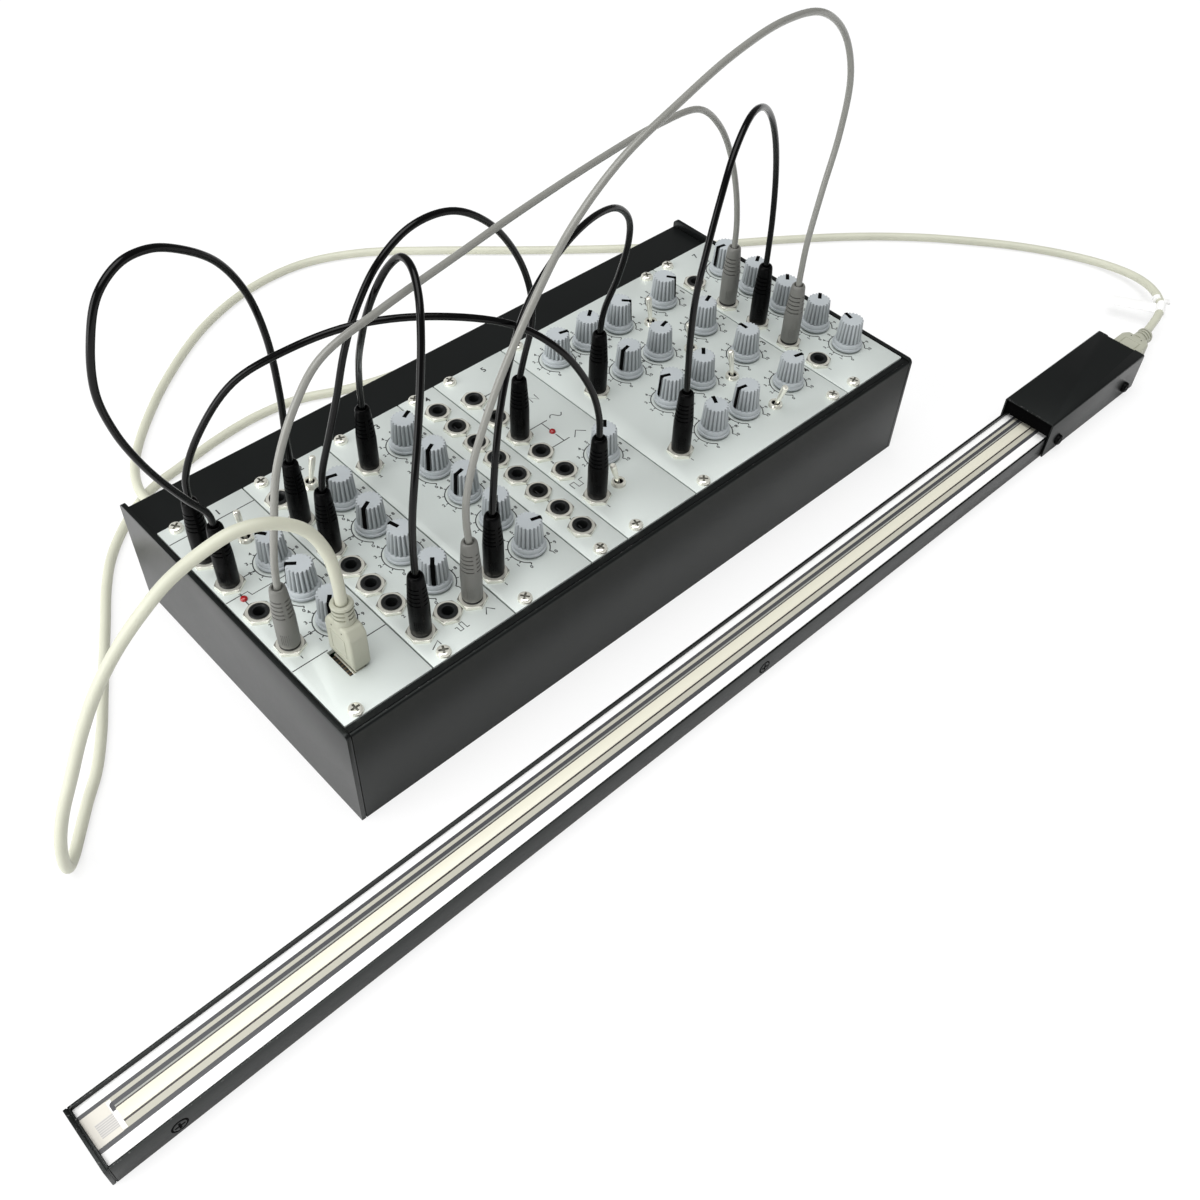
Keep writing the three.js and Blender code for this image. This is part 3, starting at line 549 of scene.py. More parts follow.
class Finish:
    """A procedural material with one principled shader."""

    def __init__(self, name):
        self.material = bpy.data.materials.new(name)
        self.material.use_nodes = True
        self.tree = self.material.node_tree
        self.shader = self.tree.nodes["Principled BSDF"]
        self.place = self.node("ShaderNodeTexCoord", output="Object")

    def node(self, kind, settings=None, values=None, output=0):
        """One node of a kind, with its settings, then the values or links of its sockets."""
        made = self.tree.nodes.new(kind)
        for name, value in (settings or {}).items():
            if name == "stops":
                self.fill_ramp(made.color_ramp, value)
            else:
                setattr(made, name, value)
        self.fill(made, values or {})
        return Value(self.tree, made.outputs[output])

    def fill(self, made, values):
        """Set or link the sockets of a node."""
        for name, value in values.items():
            if isinstance(value, Value):
                self.tree.links.new(value.socket, made.inputs[name])
            else:
                made.inputs[name].default_value = value

    def fill_ramp(self, ramp, stops):
        """Give a ramp hard bands from pairs of position and colour."""
        ramp.interpolation = "CONSTANT"
        while len(ramp.elements) < len(stops):
            ramp.elements.new(1)
        for element, (position, tone) in zip(ramp.elements, stops):
            element.position = position
            element.color = (*tone, 1)

    def noise(self, scale, detail=2.0, roughness=0.5, place=None):
        """Noise over the object, about one feature in each 1/scale metres."""
        values = {
            "Vector": place or self.place, "Scale": scale, "Detail": detail,
            "Roughness": roughness,
        }
        return self.node("ShaderNodeTexNoise", values=values)

    def stretched(self, x, y, z):
        """Object coordinates scaled along each axis."""
        return self.node("ShaderNodeMapping", values={"Vector": self.place, "Scale": (x, y, z)})

    def axis(self, name):
        """One of the object coordinates."""
        return self.node("ShaderNodeSeparateXYZ", values={"Vector": self.place}, output=name)

    def blend(self, mask, first, second):
        """The first colour where the mask is 0 and the second where it is 1."""
        made = self.tree.nodes.new("ShaderNodeMix")
        made.data_type = "RGBA"
        for socket, value in ((0, mask), (6, first), (7, second)):
            if isinstance(value, Value):
                self.tree.links.new(value.socket, made.inputs[socket])
            elif socket == 0:
                made.inputs[socket].default_value = value
            else:
                made.inputs[socket].default_value = (*value, 1)
        return Value(self.tree, made.outputs[2])

    def hollow(self):
        """How much painted shade a point of its piece has, from 0 to 1, for the shade in its
        grooves, recesses and cut corners.
        """
        return self.node("ShaderNodeAttribute", {"attribute_name": "hollow"}, output="Fac")

    def bump(self, height, distance, strength=1.0):
        """A Normal raised by a height."""
        values = {"Height": height, "Distance": distance, "Strength": strength}
        return self.node("ShaderNodeBump", values=values)

    def lighten(self, factor, colour):
        """Blend the shader with plain light on its way to the output."""
        glow = self.node("ShaderNodeEmission", values={"Color": (*colour, 1)})
        shader = Value(self.tree, self.shader.outputs[0])
        mixed = self.node("ShaderNodeMixShader", values={0: factor, 1: shader, 2: glow})
        self.tree.links.new(mixed.socket, self.tree.nodes["Material Output"].inputs["Surface"])

    def shade(self, **values):
        """Set or link the sockets of the shader; a name's _ stands for a space."""
        self.fill(self.shader, {name.replace("_", " "): value for name, value in values.items()})
        return self.material


def tinted(base, factor):
    """A colour made lighter or darker."""
    return tuple(min(1.0, part * factor) for part in base)


def shades(base, dark, light):
    """Two strengths of one colour."""
    return tinted(base, dark), tinted(base, light)


finishes = {}


def finish(maker):
    """The material that a maker gives, made once."""
    if maker.__name__ not in finishes:
        finishes[maker.__name__] = maker()
    return finishes[maker.__name__]


def speckled(name, tones, noise, gloss, relief=None, **values):
    """A finish whose tone and roughness follow one noise, with a fine relief if one is given."""
    made = Finish(name)
    mask = made.noise(*noise)
    if relief:
        scale, height, strength = relief
        values["Normal"] = made.bump(made.noise(scale), height, strength)
    rough, spread = gloss
    return made.shade(
        Base_Color=made.blend(mask, *tones), Roughness=rough + mask * spread, **values,
    )


def steel_coat(name, worn=None):
    """Satin black powder coat with a fine grain, with pale specks where a mask says: real wear on
    the channel rims, a painted highlight along the case lip and the cover's near edge.
    """
    made = Finish(name)
    grain = made.noise(1500, detail=3)
    cloud = made.noise(22, detail=4, roughness=0.6)
    tone = made.blend(cloud, *shades(colours().steel, 0.75, 1.5))
    if worn:
        wear_and_highlight_specks = made.noise(900, detail=4, roughness=0.7) > 0.61
        tone = made.blend(wear_and_highlight_specks * worn(made), tone, (0.085, 0.082, 0.082))
    return made.shade(
        Base_Color=tone,
        Roughness=0.27 + cloud * 0.1 + grain * 0.05,
        Specular_IOR_Level=0.29,
        Specular_Tint=(0.93, 1, 0.97, 1),
        Normal=made.bump(grain, 0.03 * MM, 0.7),
    )


def coated_steel():
    """Coated sheet without wear."""
    return steel_coat("coated_steel")


def case_steel():
    """Coated sheet of the case, with pale specks along the groove of its front lip as a painted
    highlight.
    """
    groove = RACK.y - FRONT_LIP + SHEET
    return steel_coat("case_steel", lambda made: (
        ((made.axis("Y") - groove).size() < LIP_HIGHLIGHT)
        * (made.axis("Z") > RACK.z - LIP_HIGHLIGHT_DROP)
    ))


def cover_steel():
    """Coated sheet of the cover, with pale specks along the near edge of its top as a painted
    highlight.
    """
    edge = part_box("ribbon_cover")[0].x + COVER_HIGHLIGHT
    return steel_coat("cover_steel", lambda made: (
        (made.axis("X") < edge) * (made.axis("Z") > COVER_HEIGHT - COVER_HIGHLIGHT_DROP)
    ))


def worn_steel():
    """Coated sheet of the channel, worn along its upper rims towards the near end."""
    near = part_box("ribbon_channel")[0].x + WORN_LENGTH
    return steel_coat("worn_steel", lambda made: (
        (made.axis("Z") > CHANNEL_HEIGHT - CHANNEL_WEAR_DROP) * (made.axis("X") < near)
    ))


def dull_black():
    """Black without shine: the ink of the knob pointers, and painted shade in the gaps round the
    flush screws, under the cover roof and in the dimples of the connectors.
    """
    tones = shades(colours().black, 0.5, 1)
    return speckled("dull_black", tones, (1800,), (0.75, 0.1), Specular_IOR_Level=0.04)


def anodised_panel():
    """Matt silver anodised aluminium with a fine even grain."""
    made = Finish("anodised_panel")
    grain = made.noise(2600)
    base = colours().panel
    tone = made.blend(made.noise(14, detail=3), *shades(base, 0.95, 1.05))
    return made.shade(
        Base_Color=made.blend(grain * 0.12, tone, tinted(base, 0.7)),
        Metallic=0.3,
        Roughness=0.46 + grain * 0.12,
        Normal=made.bump(grain, 0.012 * MM, 0.5),
    )


def knob_plastic():
    """Matt grey moulded plastic, with painted shade in the valleys of the flutes."""
    made = Finish("knob_plastic")
    grain = made.noise(2200)
    base = colours().knob
    tone = made.blend(made.noise(60), *shades(base, 0.95, 1.05))
    return made.shade(
        Base_Color=made.blend(made.hollow(), tone, tinted(base, 0.46)),
        Roughness=0.42 + grain * 0.12,
        Normal=made.bump(grain, 0.015 * MM, 0.6),
    )


def nickel():
    """Bright nickel plate with faint turning marks, with painted shade in recesses and on cut
    corners.
    """
    made = Finish("nickel")
    grain = made.noise(900)
    base = colours().nickel
    tone = made.blend(grain, *shades(base, 0.95, 1.05))
    return made.shade(
        Base_Color=made.blend(made.hollow(), tone, tinted(base, 0.12)),
        Metallic=0.6,
        Roughness=0.13 + grain * 0.08,
        Normal=made.bump(grain, 0.01 * MM, 0.4),
    )


def black_plastic():
    """Black moulded plastic."""
    made = Finish("black_plastic")
    grain = made.noise(1800)
    cloud = made.noise(120, detail=3)
    return made.shade(
        Base_Color=made.blend(cloud, *shades(colours().black, 0.8, 1.8)),
        Roughness=0.24 + grain * 0.1,
        Specular_IOR_Level=0.06,
        Normal=made.bump(grain, 0.015 * MM, 0.6),
    )


def cord_jacket(name, base, gloss, shine=0.5):
    """Soft plastic jacket of a cord."""
    return speckled(
        name, shades(base, 0.88, 1.1), (45, 3), (gloss, 0.1), (1400, 0.02 * MM, 0.4),
        Specular_IOR_Level=shine,
    )


def lead_black():
    """Black jacket of a patch lead."""
    return cord_jacket("lead_black", colours().black, 0.1, 0.2)


def lead_grey():
    """Grey jacket of a patch lead, paler than its plugs."""
    return cord_jacket("lead_grey", tinted(colours().grey, 1.6), 0.18)


def ring_black():
    """Dull black plastic of the jack rings."""
    return cord_jacket("ring_black", (0.006, 0.007, 0.007), 0.4, 0.4)


def plug_grey():
    """Grey moulded plug."""
    return cord_jacket("plug_grey", colours().grey, 0.4)


def cable_ivory():
    """Ivory jacket of the control cable."""
    return cord_jacket("cable_ivory", colours().ivory, 0.4)


def hood_ivory():
    """Ivory plastic of the connectors."""
    return cord_jacket("hood_ivory", colours().hood, 0.42)


def panel_ink():
    """Black screen print."""
    tones = (0.006, 0.007, 0.008), (0.02, 0.021, 0.022)
    return speckled("panel_ink", tones, (3000,), (0.5, 0.1))


def lamp_lens():
    """Clear red plastic of a signal lamp."""
    tones = shades(colours().lamp, 0.7, 1.4)
    return speckled("lamp_lens", tones, (500, 1), (0.12, 0.05), Coat_Weight=0.6)


def circuit_board():
    """Green lacquered board with faint tracks."""
    made = Finish("circuit_board")
    tracks = (made.axis("X") * 2400).wave() > 0.55
    patches = made.noise(180, detail=1) > 0.52
    base = colours().board
    return made.shade(
        Base_Color=made.blend(tracks * patches, base, tinted(base, 2.4)),
        Roughness=0.3 + patches * 0.1,
        Coat_Weight=0.3,
    )


def white_strip():
    """White satin strip."""
    tones = shades(colours().white, 0.97, 1.02)
    return speckled("white_strip", tones, (1600,), (0.45, 0.1), (1600, 0.01 * MM, 0.4))


# Bands across the sensor from front to back: where each ends, in millimetres from the middle of
# the channel, and its tone; the played strip lies on the widest cream one
SENSOR_BANDS = [
    (-6.6, "white"), (-4.8, "slate"), (-2.4, "greige"), (-1.7, "dark"), (3.2, "cream"),
    (3.7, "dark"), (4.4, "silver"), (6.0, "slate"), (7.4, "greige"), (8.9, "slate"),
    (13.0, "white"),
]
ACTIVE_BAND = 4


def sensor_film():
    """Layered film of the sensor: white edges, cream film and grey conductor tracks."""
    made = Finish("sensor_film")
    low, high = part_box("ribbon_channel")
    middle = (low.y + high.y) / 2
    width = high.y - low.y
    tones = {
        "white": tuple(colours().white),
        "cream": tuple(colours().cream),
        "greige": tinted(colours().cream, 0.66),
        "slate": (0.045, 0.046, 0.052),
        "silver": (0.34, 0.35, 0.32),
        "dark": (0.025, 0.018, 0.018),
    }
    stops = []
    reached = 0.0
    for end, tone in SENSOR_BANDS:
        stops.append((reached, tones[tone]))
        reached = 0.5 + end * MM / width
    across = (made.axis("Y") - (middle - width / 2)) / width
    bands = made.node("ShaderNodeValToRGB", {"stops": stops}, {"Fac": across})
    cloud = made.noise(40, detail=4, place=made.stretched(0.2, 1, 1))
    grain = made.noise(1500, detail=2)
    return made.shade(
        Base_Color=made.blend(cloud * 0.08, bands, (0.45, 0.45, 0.42)),
        Roughness=0.2 + cloud * 0.16,
        Normal=made.bump(grain, 0.01 * MM, 0.4),
    )


def film_tail():
    """Cream end block of the film with a field of fine grey contact lines."""
    made = Finish("film_tail")
    low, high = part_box("ribbon_channel")
    across = (made.axis("Y") - (low.y + high.y) / 2).size() < HATCH_HALF
    along = made.axis("X") > low.x + HATCH_START
    hatch = (made.axis("Y") * 7800).wave() > 0
    cloud = made.noise(300, detail=2)
    field = made.blend(hatch, (0.47, 0.46, 0.44), (0.62, 0.6, 0.57))
    return made.shade(
        Base_Color=made.blend(across * along, (0.7, 0.67, 0.6), field),
        Roughness=0.3 + cloud * 0.1,
    )


def slate_track():
    """Grey conductor track."""
    tones = (0.04, 0.041, 0.046), (0.06, 0.061, 0.067)
    return speckled("slate_track", tones, (400,), (0.25, 0.1))


def contact_brass():
    """Dull brass contacts with dark gaps between them."""
    made = Finish("contact_brass")
    gaps = (made.axis("Y") * 3600).wave() > 0.2
    cloud = made.noise(600, detail=2)
    return made.shade(
        Base_Color=made.blend(gaps, (0.01, 0.009, 0.008), (0.13, 0.095, 0.06)),
        Metallic=gaps * 0.8,
        Roughness=0.35 + cloud * 0.1,
    )


def cream_film():
    """Cream film of the strip that is played."""
    made = Finish("cream_film")
    cloud = made.noise(30, detail=4, place=made.stretched(0.2, 1, 1))
    return made.shade(
        Base_Color=made.blend(cloud, *shades(colours().cream, 0.94, 1.08)),
        Roughness=0.24 + cloud * 0.12,
        Normal=made.bump(made.noise(1800), 0.01 * MM, 0.4),
    )


def put_down():
    """Leave edit mode and deselect everything."""
    if bpy.context.object and bpy.context.object.mode != "OBJECT":
        bpy.ops.object.mode_set(mode="OBJECT")
    bpy.ops.object.select_all(action="DESELECT")


def take(piece):
    """Make a piece the only one selected."""
    put_down()
    bpy.context.view_layer.objects.active = piece
    piece.select_set(True)


def edit(piece, kind="FACE", action="DESELECT"):
    """Open a piece in edit mode."""
    take(piece)
    bpy.ops.object.mode_set(mode="EDIT")
    bpy.ops.mesh.select_mode(type=kind)
    bpy.ops.mesh.select_all(action=action)


def choose(piece, kind, test):
    """Select the vertices, edges or faces of an open piece that pass a test."""
    mesh = bmesh.from_edit_mesh(piece.data)
    for item in getattr(mesh, kind):
        item.select_set(False)
    for item in getattr(mesh, kind):
        if test(item):
            item.select_set(True)
    mesh.select_flush_mode()
    bmesh.update_edit_mesh(piece.data)


def clean(piece):
    """Merge doubled points and turn all faces outwards."""
    edit(piece, action="SELECT")
    bpy.ops.mesh.remove_doubles(threshold=MERGE)
    bpy.ops.mesh.normals_make_consistent(inside=False)
    put_down()
    return piece


def apply_modifier(piece, kind, **settings):
    """Add a modifier and apply it."""
    take(piece)
    made = piece.modifiers.new(kind.lower(), kind)
    for name, value in settings.items():
        setattr(made, name, value)
    bpy.ops.object.modifier_apply(modifier=made.name)
    return piece


def rounded(piece, width, segments=2, angle=40):
    """Round the edges that are sharper than an angle."""
    return apply_modifier(
        piece, "BEVEL", width=width, segments=segments, limit_method="ANGLE",
        angle_limit=math.radians(angle),
    )


def cut(piece, cutter, operation="DIFFERENCE"):
    """Cut a piece with a cutter, which goes."""
    apply_modifier(piece, "BOOLEAN", object=cutter, operation=operation, solver="EXACT")
    bpy.data.objects.remove(cutter)
    return piece


def turned(name, profile, sides=FACETS):
    """A turned piece: a disc that is extruded and scaled through pairs of radius and height."""
    put_down()
    radius, height = profile[0]
    bpy.ops.mesh.primitive_circle_add(
        vertices=sides, radius=radius, fill_type="NGON", location=(0, 0, height),
    )
    piece = bpy.context.object
    piece.name = name
    bpy.ops.object.transform_apply(location=True, rotation=True, scale=True)
    edit(piece, action="SELECT")
    for (before, low), (after, high) in zip(profile, profile[1:]):
        bpy.ops.mesh.extrude_region_move(TRANSFORM_OT_translate={"value": (0, 0, high - low)})
        ratio = after / before
        bpy.ops.transform.resize(value=(ratio, ratio, 1), center_override=(0, 0, high))
    return clean(piece)


def block(name, low, high):
    """A block between two corners."""
    put_down()
    low, high = Vector(low), Vector(high)
    bpy.ops.mesh.primitive_cube_add(size=1, location=(low + high) / 2, scale=high - low)
    piece = bpy.context.object
    piece.name = name
    bpy.ops.object.transform_apply(location=True, rotation=True, scale=True)
    return piece


def centred_block(name, width, depth, bottom, top, x=0.0, y=0.0):
    """A block by its middle in plan and its lower and upper faces."""
    low = (x - width / 2, y - depth / 2, bottom)
    high = (x + width / 2, y + depth / 2, top)
    return block(name, low, high)


def folded(name, outline, start, end):
    """An outline of (y, z) points, filled and drawn along X."""
    put_down()
    curve = bpy.data.curves.new(name, "CURVE")
    curve.dimensions = "2D"
    curve.fill_mode = "BOTH"
    curve.extrude = (end - start) / 2
    spline = curve.splines.new("POLY")
    spline.points.add(len(outline) - 1)
    for point, (y, z) in zip(spline.points, outline):
        point.co = (y, z, 0, 1)
    spline.use_cyclic_u = True
    piece = bpy.data.objects.new(name, curve)
    bpy.context.collection.objects.link(piece)
    take(piece)
    bpy.ops.object.convert(target="MESH")
    piece = bpy.context.object
    turn = Matrix(((0, 0, 1), (1, 0, 0), (0, 1, 0))).to_4x4()
    piece.data.transform(Matrix.Translation(((start + end) / 2, 0, 0)) @ turn)
    return clean(piece)


def arc(centre_y, centre_z, radius, first, last, steps=8):
    """Points of an arc from one angle to another."""
    angles = [first + (last - first) * step / steps for step in range(steps + 1)]
    return [
        (centre_y + radius * math.cos(angle), centre_z + radius * math.sin(angle))
        for angle in angles
    ]


def rings(radius, height, unit, *steps):
    """Profile points at steps of one unit from a radius and a height."""
    return [(radius + unit * out, height + unit * up) for out, up in steps]


def notch(radius, neck, start, width):
    """Profile points of a groove between two heights."""
    return [
        (radius, start), (neck, start + 0.1 * width), (neck, start + 0.9 * width),
        (radius, start + width),
    ]


def slant(piece, shift):
    """Shift the top face of a block."""
    edit(piece)
    choose(piece, "faces", lambda face: face.normal.z > 0.5)
    bpy.ops.transform.translate(value=shift)
    put_down()
    return piece


def placed(spot, angle, axis="Z"):
    """A turn about an axis and then a shift to a place."""
    return Matrix.Translation(spot) @ Matrix.Rotation(angle, 4, axis)


def moved(piece, place):
    """Shift or turn the mesh of a piece by a place or a matrix."""
    matrix = place if isinstance(place, Matrix) else Matrix.Translation(place)
    piece.data.transform(matrix)
    return piece


def copied(model, place, name=None):
    """A copy of a model with its own mesh."""
    clone = model.copy()
    clone.data = model.data.copy()
    clone.name = name or model.name
    bpy.context.collection.objects.link(clone)
    return moved(clone, place)


def joined(name, pieces):
    """One piece made from several."""
    put_down()
    for piece in pieces:
        piece.select_set(True)
    bpy.context.view_layer.objects.active = pieces[0]
    if len(pieces) > 1:
        bpy.ops.object.join()
    piece = bpy.context.object
    piece.name = name
    return piece


def coat(piece, maker):
    """Give a piece one finish."""
    piece.data.materials.clear()
    piece.data.materials.append(finish(maker))
    return piece


def mark(piece, test, depth):
    """Give the faces of a piece that pass a test a depth of painted shade, for the shade in
    recesses and on cut corners.
    """
    hollow = piece.data.attributes.new("hollow", "FLOAT", "FACE")
    for face, value in zip(piece.data.polygons, hollow.data):
        value.value = depth if test(face) else 0.0
    return piece


def seat(piece, body="root", stands_for=(), smooth=35):
    """Smooth a finished piece, let it ride on a body and hide the frame parts that it stands for.
    """
    take(piece)
    bpy.ops.object.shade_smooth_by_angle(angle=math.radians(smooth))
    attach(piece, body)
    if stands_for:
        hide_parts(*stands_for)
    return piece


def drop(*models):
    """Remove models that were only copied."""
    for model in models:
        bpy.data.objects.remove(model)


class Front:
    """A front panel, and what it carries at shares of its width and height."""

    def __init__(self, left, name, units, jacks, lamps=(), slot=None, screw_columns=1):
        self.left = left
        self.name = name
        self.width = units * RACK_UNIT
        self.jacks = [self.spot(*shares) for shares in jacks]
        self.lamps = [self.spot(*shares) for shares in lamps]
        self.slot = self.spot(*slot) if slot else None
        self.screw_columns = screw_columns

    def spot(self, across, up):
        """A place on the face from shares of its width and height."""
        return Vector((self.left + self.width * across, RACK.y + PANEL_HEIGHT * up, RACK.z))

    def point(self, x, y):
        """A place on the face in millimetres from its front left corner."""
        return Vector((self.left + x * MM, RACK.y + y * MM, RACK.z))

    def joints(self, kind):
        """The joints of the knobs or toggles."""
        start = f"{self.name}_{kind}_"
        return [joint for joint in frame["joints"] if joint["child"].startswith(start)]

    def pivots(self, kind):
        """The places of the knobs or toggles."""
        return [Vector(joint["pos_m"]) for joint in self.joints(kind)]


FRONTS = []
for module in MODULES:
    edge = FRONTS[-1].left + FRONTS[-1].width if FRONTS else RACK.x
    FRONTS.append(Front(edge, **module))


def middle_of(joint):
    """The middle of a joint's range in radians."""
    low, high = joint["range_deg"]
    return math.radians((low + high) / 2)


def smooth_route(points, steps=8):
    """Points along a centripetal curve through a list of points."""
    points = [Vector(point) for point in points]
    padded = [2 * points[0] - points[1], *points, 2 * points[-1] - points[-2]]
    route = [points[0]]
    for index in range(len(points) - 1):
        p0, p1, p2, p3 = padded[index:index + 4]
        t1 = (p1 - p0).length ** 0.5
        t2 = t1 + (p2 - p1).length ** 0.5
        t3 = t2 + (p3 - p2).length ** 0.5
        for step in range(1, steps + 1):
            t = t1 + (t2 - t1) * step / steps
            a1 = p0 * ((t1 - t) / t1) + p1 * (t / t1)
            a2 = p1 * ((t2 - t) / (t2 - t1)) + p2 * ((t - t1) / (t2 - t1))
            a3 = p2 * ((t3 - t) / (t3 - t2)) + p3 * ((t - t2) / (t3 - t2))
            b1 = a1 * ((t2 - t) / t2) + a2 * (t / t2)
            b2 = a2 * ((t3 - t) / (t3 - t1)) + a3 * ((t - t1) / (t3 - t1))
            route.append(b1 * ((t2 - t) / (t2 - t1)) + b2 * ((t - t1) / (t2 - t1)))
    return route


def round_path(name, lines, diameter, resolution):
    """A curve with a round section along lists of points."""
    curve = bpy.data.curves.new(name, "CURVE")
    curve.dimensions = "3D"
    curve.bevel_depth = diameter / 2
    curve.bevel_resolution = resolution
    curve.use_fill_caps = True
    for line in lines:
        spline = curve.splines.new("POLY")
        spline.points.add(len(line) - 1)
        for point, place in zip(spline.points, line):
            point.co = (*place, 1)
    piece = bpy.data.objects.new(name, curve)
    bpy.context.collection.objects.link(piece)
    return piece


def cord(name, points, diameter, maker, stands_for):
    """A cord along a smooth route through points, which lies with the root."""
    piece = round_path(name, [smooth_route(points)], diameter, 5)
    piece.data.splines[0].use_smooth = True
    piece.data.materials.append(finish(maker))
    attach(piece, "root")
    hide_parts(stands_for)
    return piece


def from_rack(point):
    """A point in millimetres from the rack origin, in the frame."""
    return RACK + Vector(point) * MM


class SYNTH_OT_stage(bpy.types.Operator):
    """Place the camera, the floor and the lamps"""

    bl_idname = "synth.stage"
    bl_label = "Stage"

    def execute(self, context):
        self.camera()
        self.floor()
        self.lamps()
        return {"FINISHED"}

    def camera(self):
        """The camera that the part is drawn from."""
        data = bpy.data.cameras.new("camera")
        data.lens = CAMERA_LENS
        data.sensor_width = CAMERA_SENSOR
        data.clip_start = CAMERA_NEAR
        camera = bpy.data.objects.new("camera", data)
        camera.location = CAMERA_PLACE
        camera.rotation_euler = [math.radians(angle) for angle in CAMERA_ANGLES]
        bpy.context.collection.objects.link(camera)
        bpy.context.scene.camera = camera

    def floor(self):
        """A wide pale floor that keeps the shadow."""
        put_down()
        bpy.ops.mesh.primitive_grid_add(size=FLOOR_SIZE, x_subdivisions=4, y_subdivisions=4)
        floor = bpy.context.object
        floor.name = "floor"
        made = Finish("floor")
        made.shade(
            Base_Color=made.blend(made.noise(3), *shades(colours().floor, 0.995, 1.01)),
            Roughness=0.7,
            Specular_IOR_Level=0.2,
        )
        seen = made.node("ShaderNodeLightPath", output="Is Camera Ray")
        made.lighten(seen * FLOOR_GLOW, WHITE)
        floor.data.materials.append(made.material)

    def lamps(self):
        """A wide soft lamp overhead, a low one at the left, and a pale world."""
        above = bpy.data.lights.new("lamp_above", "SUN")
        above.energy = ABOVE_ENERGY
        above.angle = ABOVE_ANGLE
        left = bpy.data.lights.new("lamp_left", "AREA")
        left.shape = "DISK"
        left.size = LEFT_SIZE
        left.energy = LEFT_ENERGY
        for data, place in ((above, ABOVE_PLACE), (left, LEFT_PLACE)):
            lamp = bpy.data.objects.new(data.name, data)
            lamp.location = place
            aim = Vector(LAMP_AIM) - Vector(place)
            lamp.rotation_euler = aim.to_track_quat("-Z", "Y").to_euler()
            bpy.context.collection.objects.link(lamp)
        world = bpy.data.worlds.new("studio")
        world.use_nodes = True
        tree = world.node_tree
        ground = tree.nodes["Background"]
        ray = tree.nodes.new("ShaderNodeLightPath")
        seen = Value(tree, ray.outputs["Is Camera Ray"]) * WORLD_SEEN
        mirrored = Value(tree, ray.outputs["Is Glossy Ray"]) * WORLD_MIRRORED
        strength = WORLD_STRENGTH + seen - mirrored
        tree.links.new(strength.socket, ground.inputs["Strength"])
        ground.inputs["Color"].default_value = (*WHITE, 1)
        bpy.context.scene.world = world
        bpy.context.scene.view_settings.view_transform = "Standard"


class SYNTH_OT_case(bpy.types.Operator):
    """Build the folded case tray and its two side plates"""

    bl_idname = "synth.case"
    bl_label = "Case"

    def execute(self, context):
        self.tray()
        self.side("side_plate_left", plate_low, plate_high)
        self.side("side_plate_right", far_plate_low, far_plate_high)
        return {"FINISHED"}

    def tray(self):
        """Floor, walls, lip, back strip and rails in one folded section."""
        front = -FRONT_LIP
        back = PANEL_HEIGHT + BACK_STRIP
        rail_top = -PANEL_THICKNESS - GAP
        rail_end = rail_top - RAIL_HEIGHT
        section = [
            (front, -CASE_HEIGHT),
            (back, -CASE_HEIGHT),
            *arc(back - BEND_RADIUS, -STRIP_DROP - BEND_RADIUS, BEND_RADIUS, 0, QUARTER),
            (PANEL_HEIGHT + SEAM, -STRIP_DROP),
            (PANEL_HEIGHT + SEAM, rail_top),
            (PANEL_HEIGHT - RAIL_DEPTH, rail_top),
            (PANEL_HEIGHT - RAIL_DEPTH, rail_end),
            (PANEL_HEIGHT + SEAM, rail_end),
            (PANEL_HEIGHT + SEAM, -STRIP_DROP - SHEET),
            (back - SHEET, -STRIP_DROP - SHEET),
            (back - SHEET, SHEET - CASE_HEIGHT),
            (front + SHEET, SHEET - CASE_HEIGHT),
            (front + SHEET, rail_end),
            (RAIL_DEPTH, rail_end),
            (RAIL_DEPTH, rail_top),
            (-GAP, rail_top),
            (-GAP, -LIP_DROP),
            (front + SHEET + LIP_GROOVE, -LIP_DROP),
            (front + SHEET + LIP_GROOVE, -LIP_DROP - 2 * LIP_GROOVE),
            (front + SHEET, -LIP_DROP - 2 * LIP_GROOVE),
            (front + SHEET, -LIP_DROP),
            *arc(front + BEND_RADIUS, -LIP_DROP - BEND_RADIUS, BEND_RADIUS, QUARTER, math.pi),
        ]
        outline = [(RACK.y + y, RACK.z + z) for y, z in section]
        tray = folded("case_shell", outline, tray_low.x, tray_high.x)
        seat(coat(tray, case_steel), stands_for=["case_tray"], smooth=28)

    def side(self, name, low, high):
        """A flat plate with rounded upper corners."""
        corner = PLATE_CORNER
        outline = [
            (low.y, low.z),
            (high.y, low.z),
            *arc(high.y - corner, high.z - corner, corner, 0, QUARTER),
            *arc(low.y + corner, high.z - corner, corner, QUARTER, math.pi),
        ]
        plate = folded(f"{name}_sheet", outline, low.x, high.x)
        rounded(plate, sizes().edge, angle=60)
        seat(coat(plate, coated_steel), stands_for=[name])


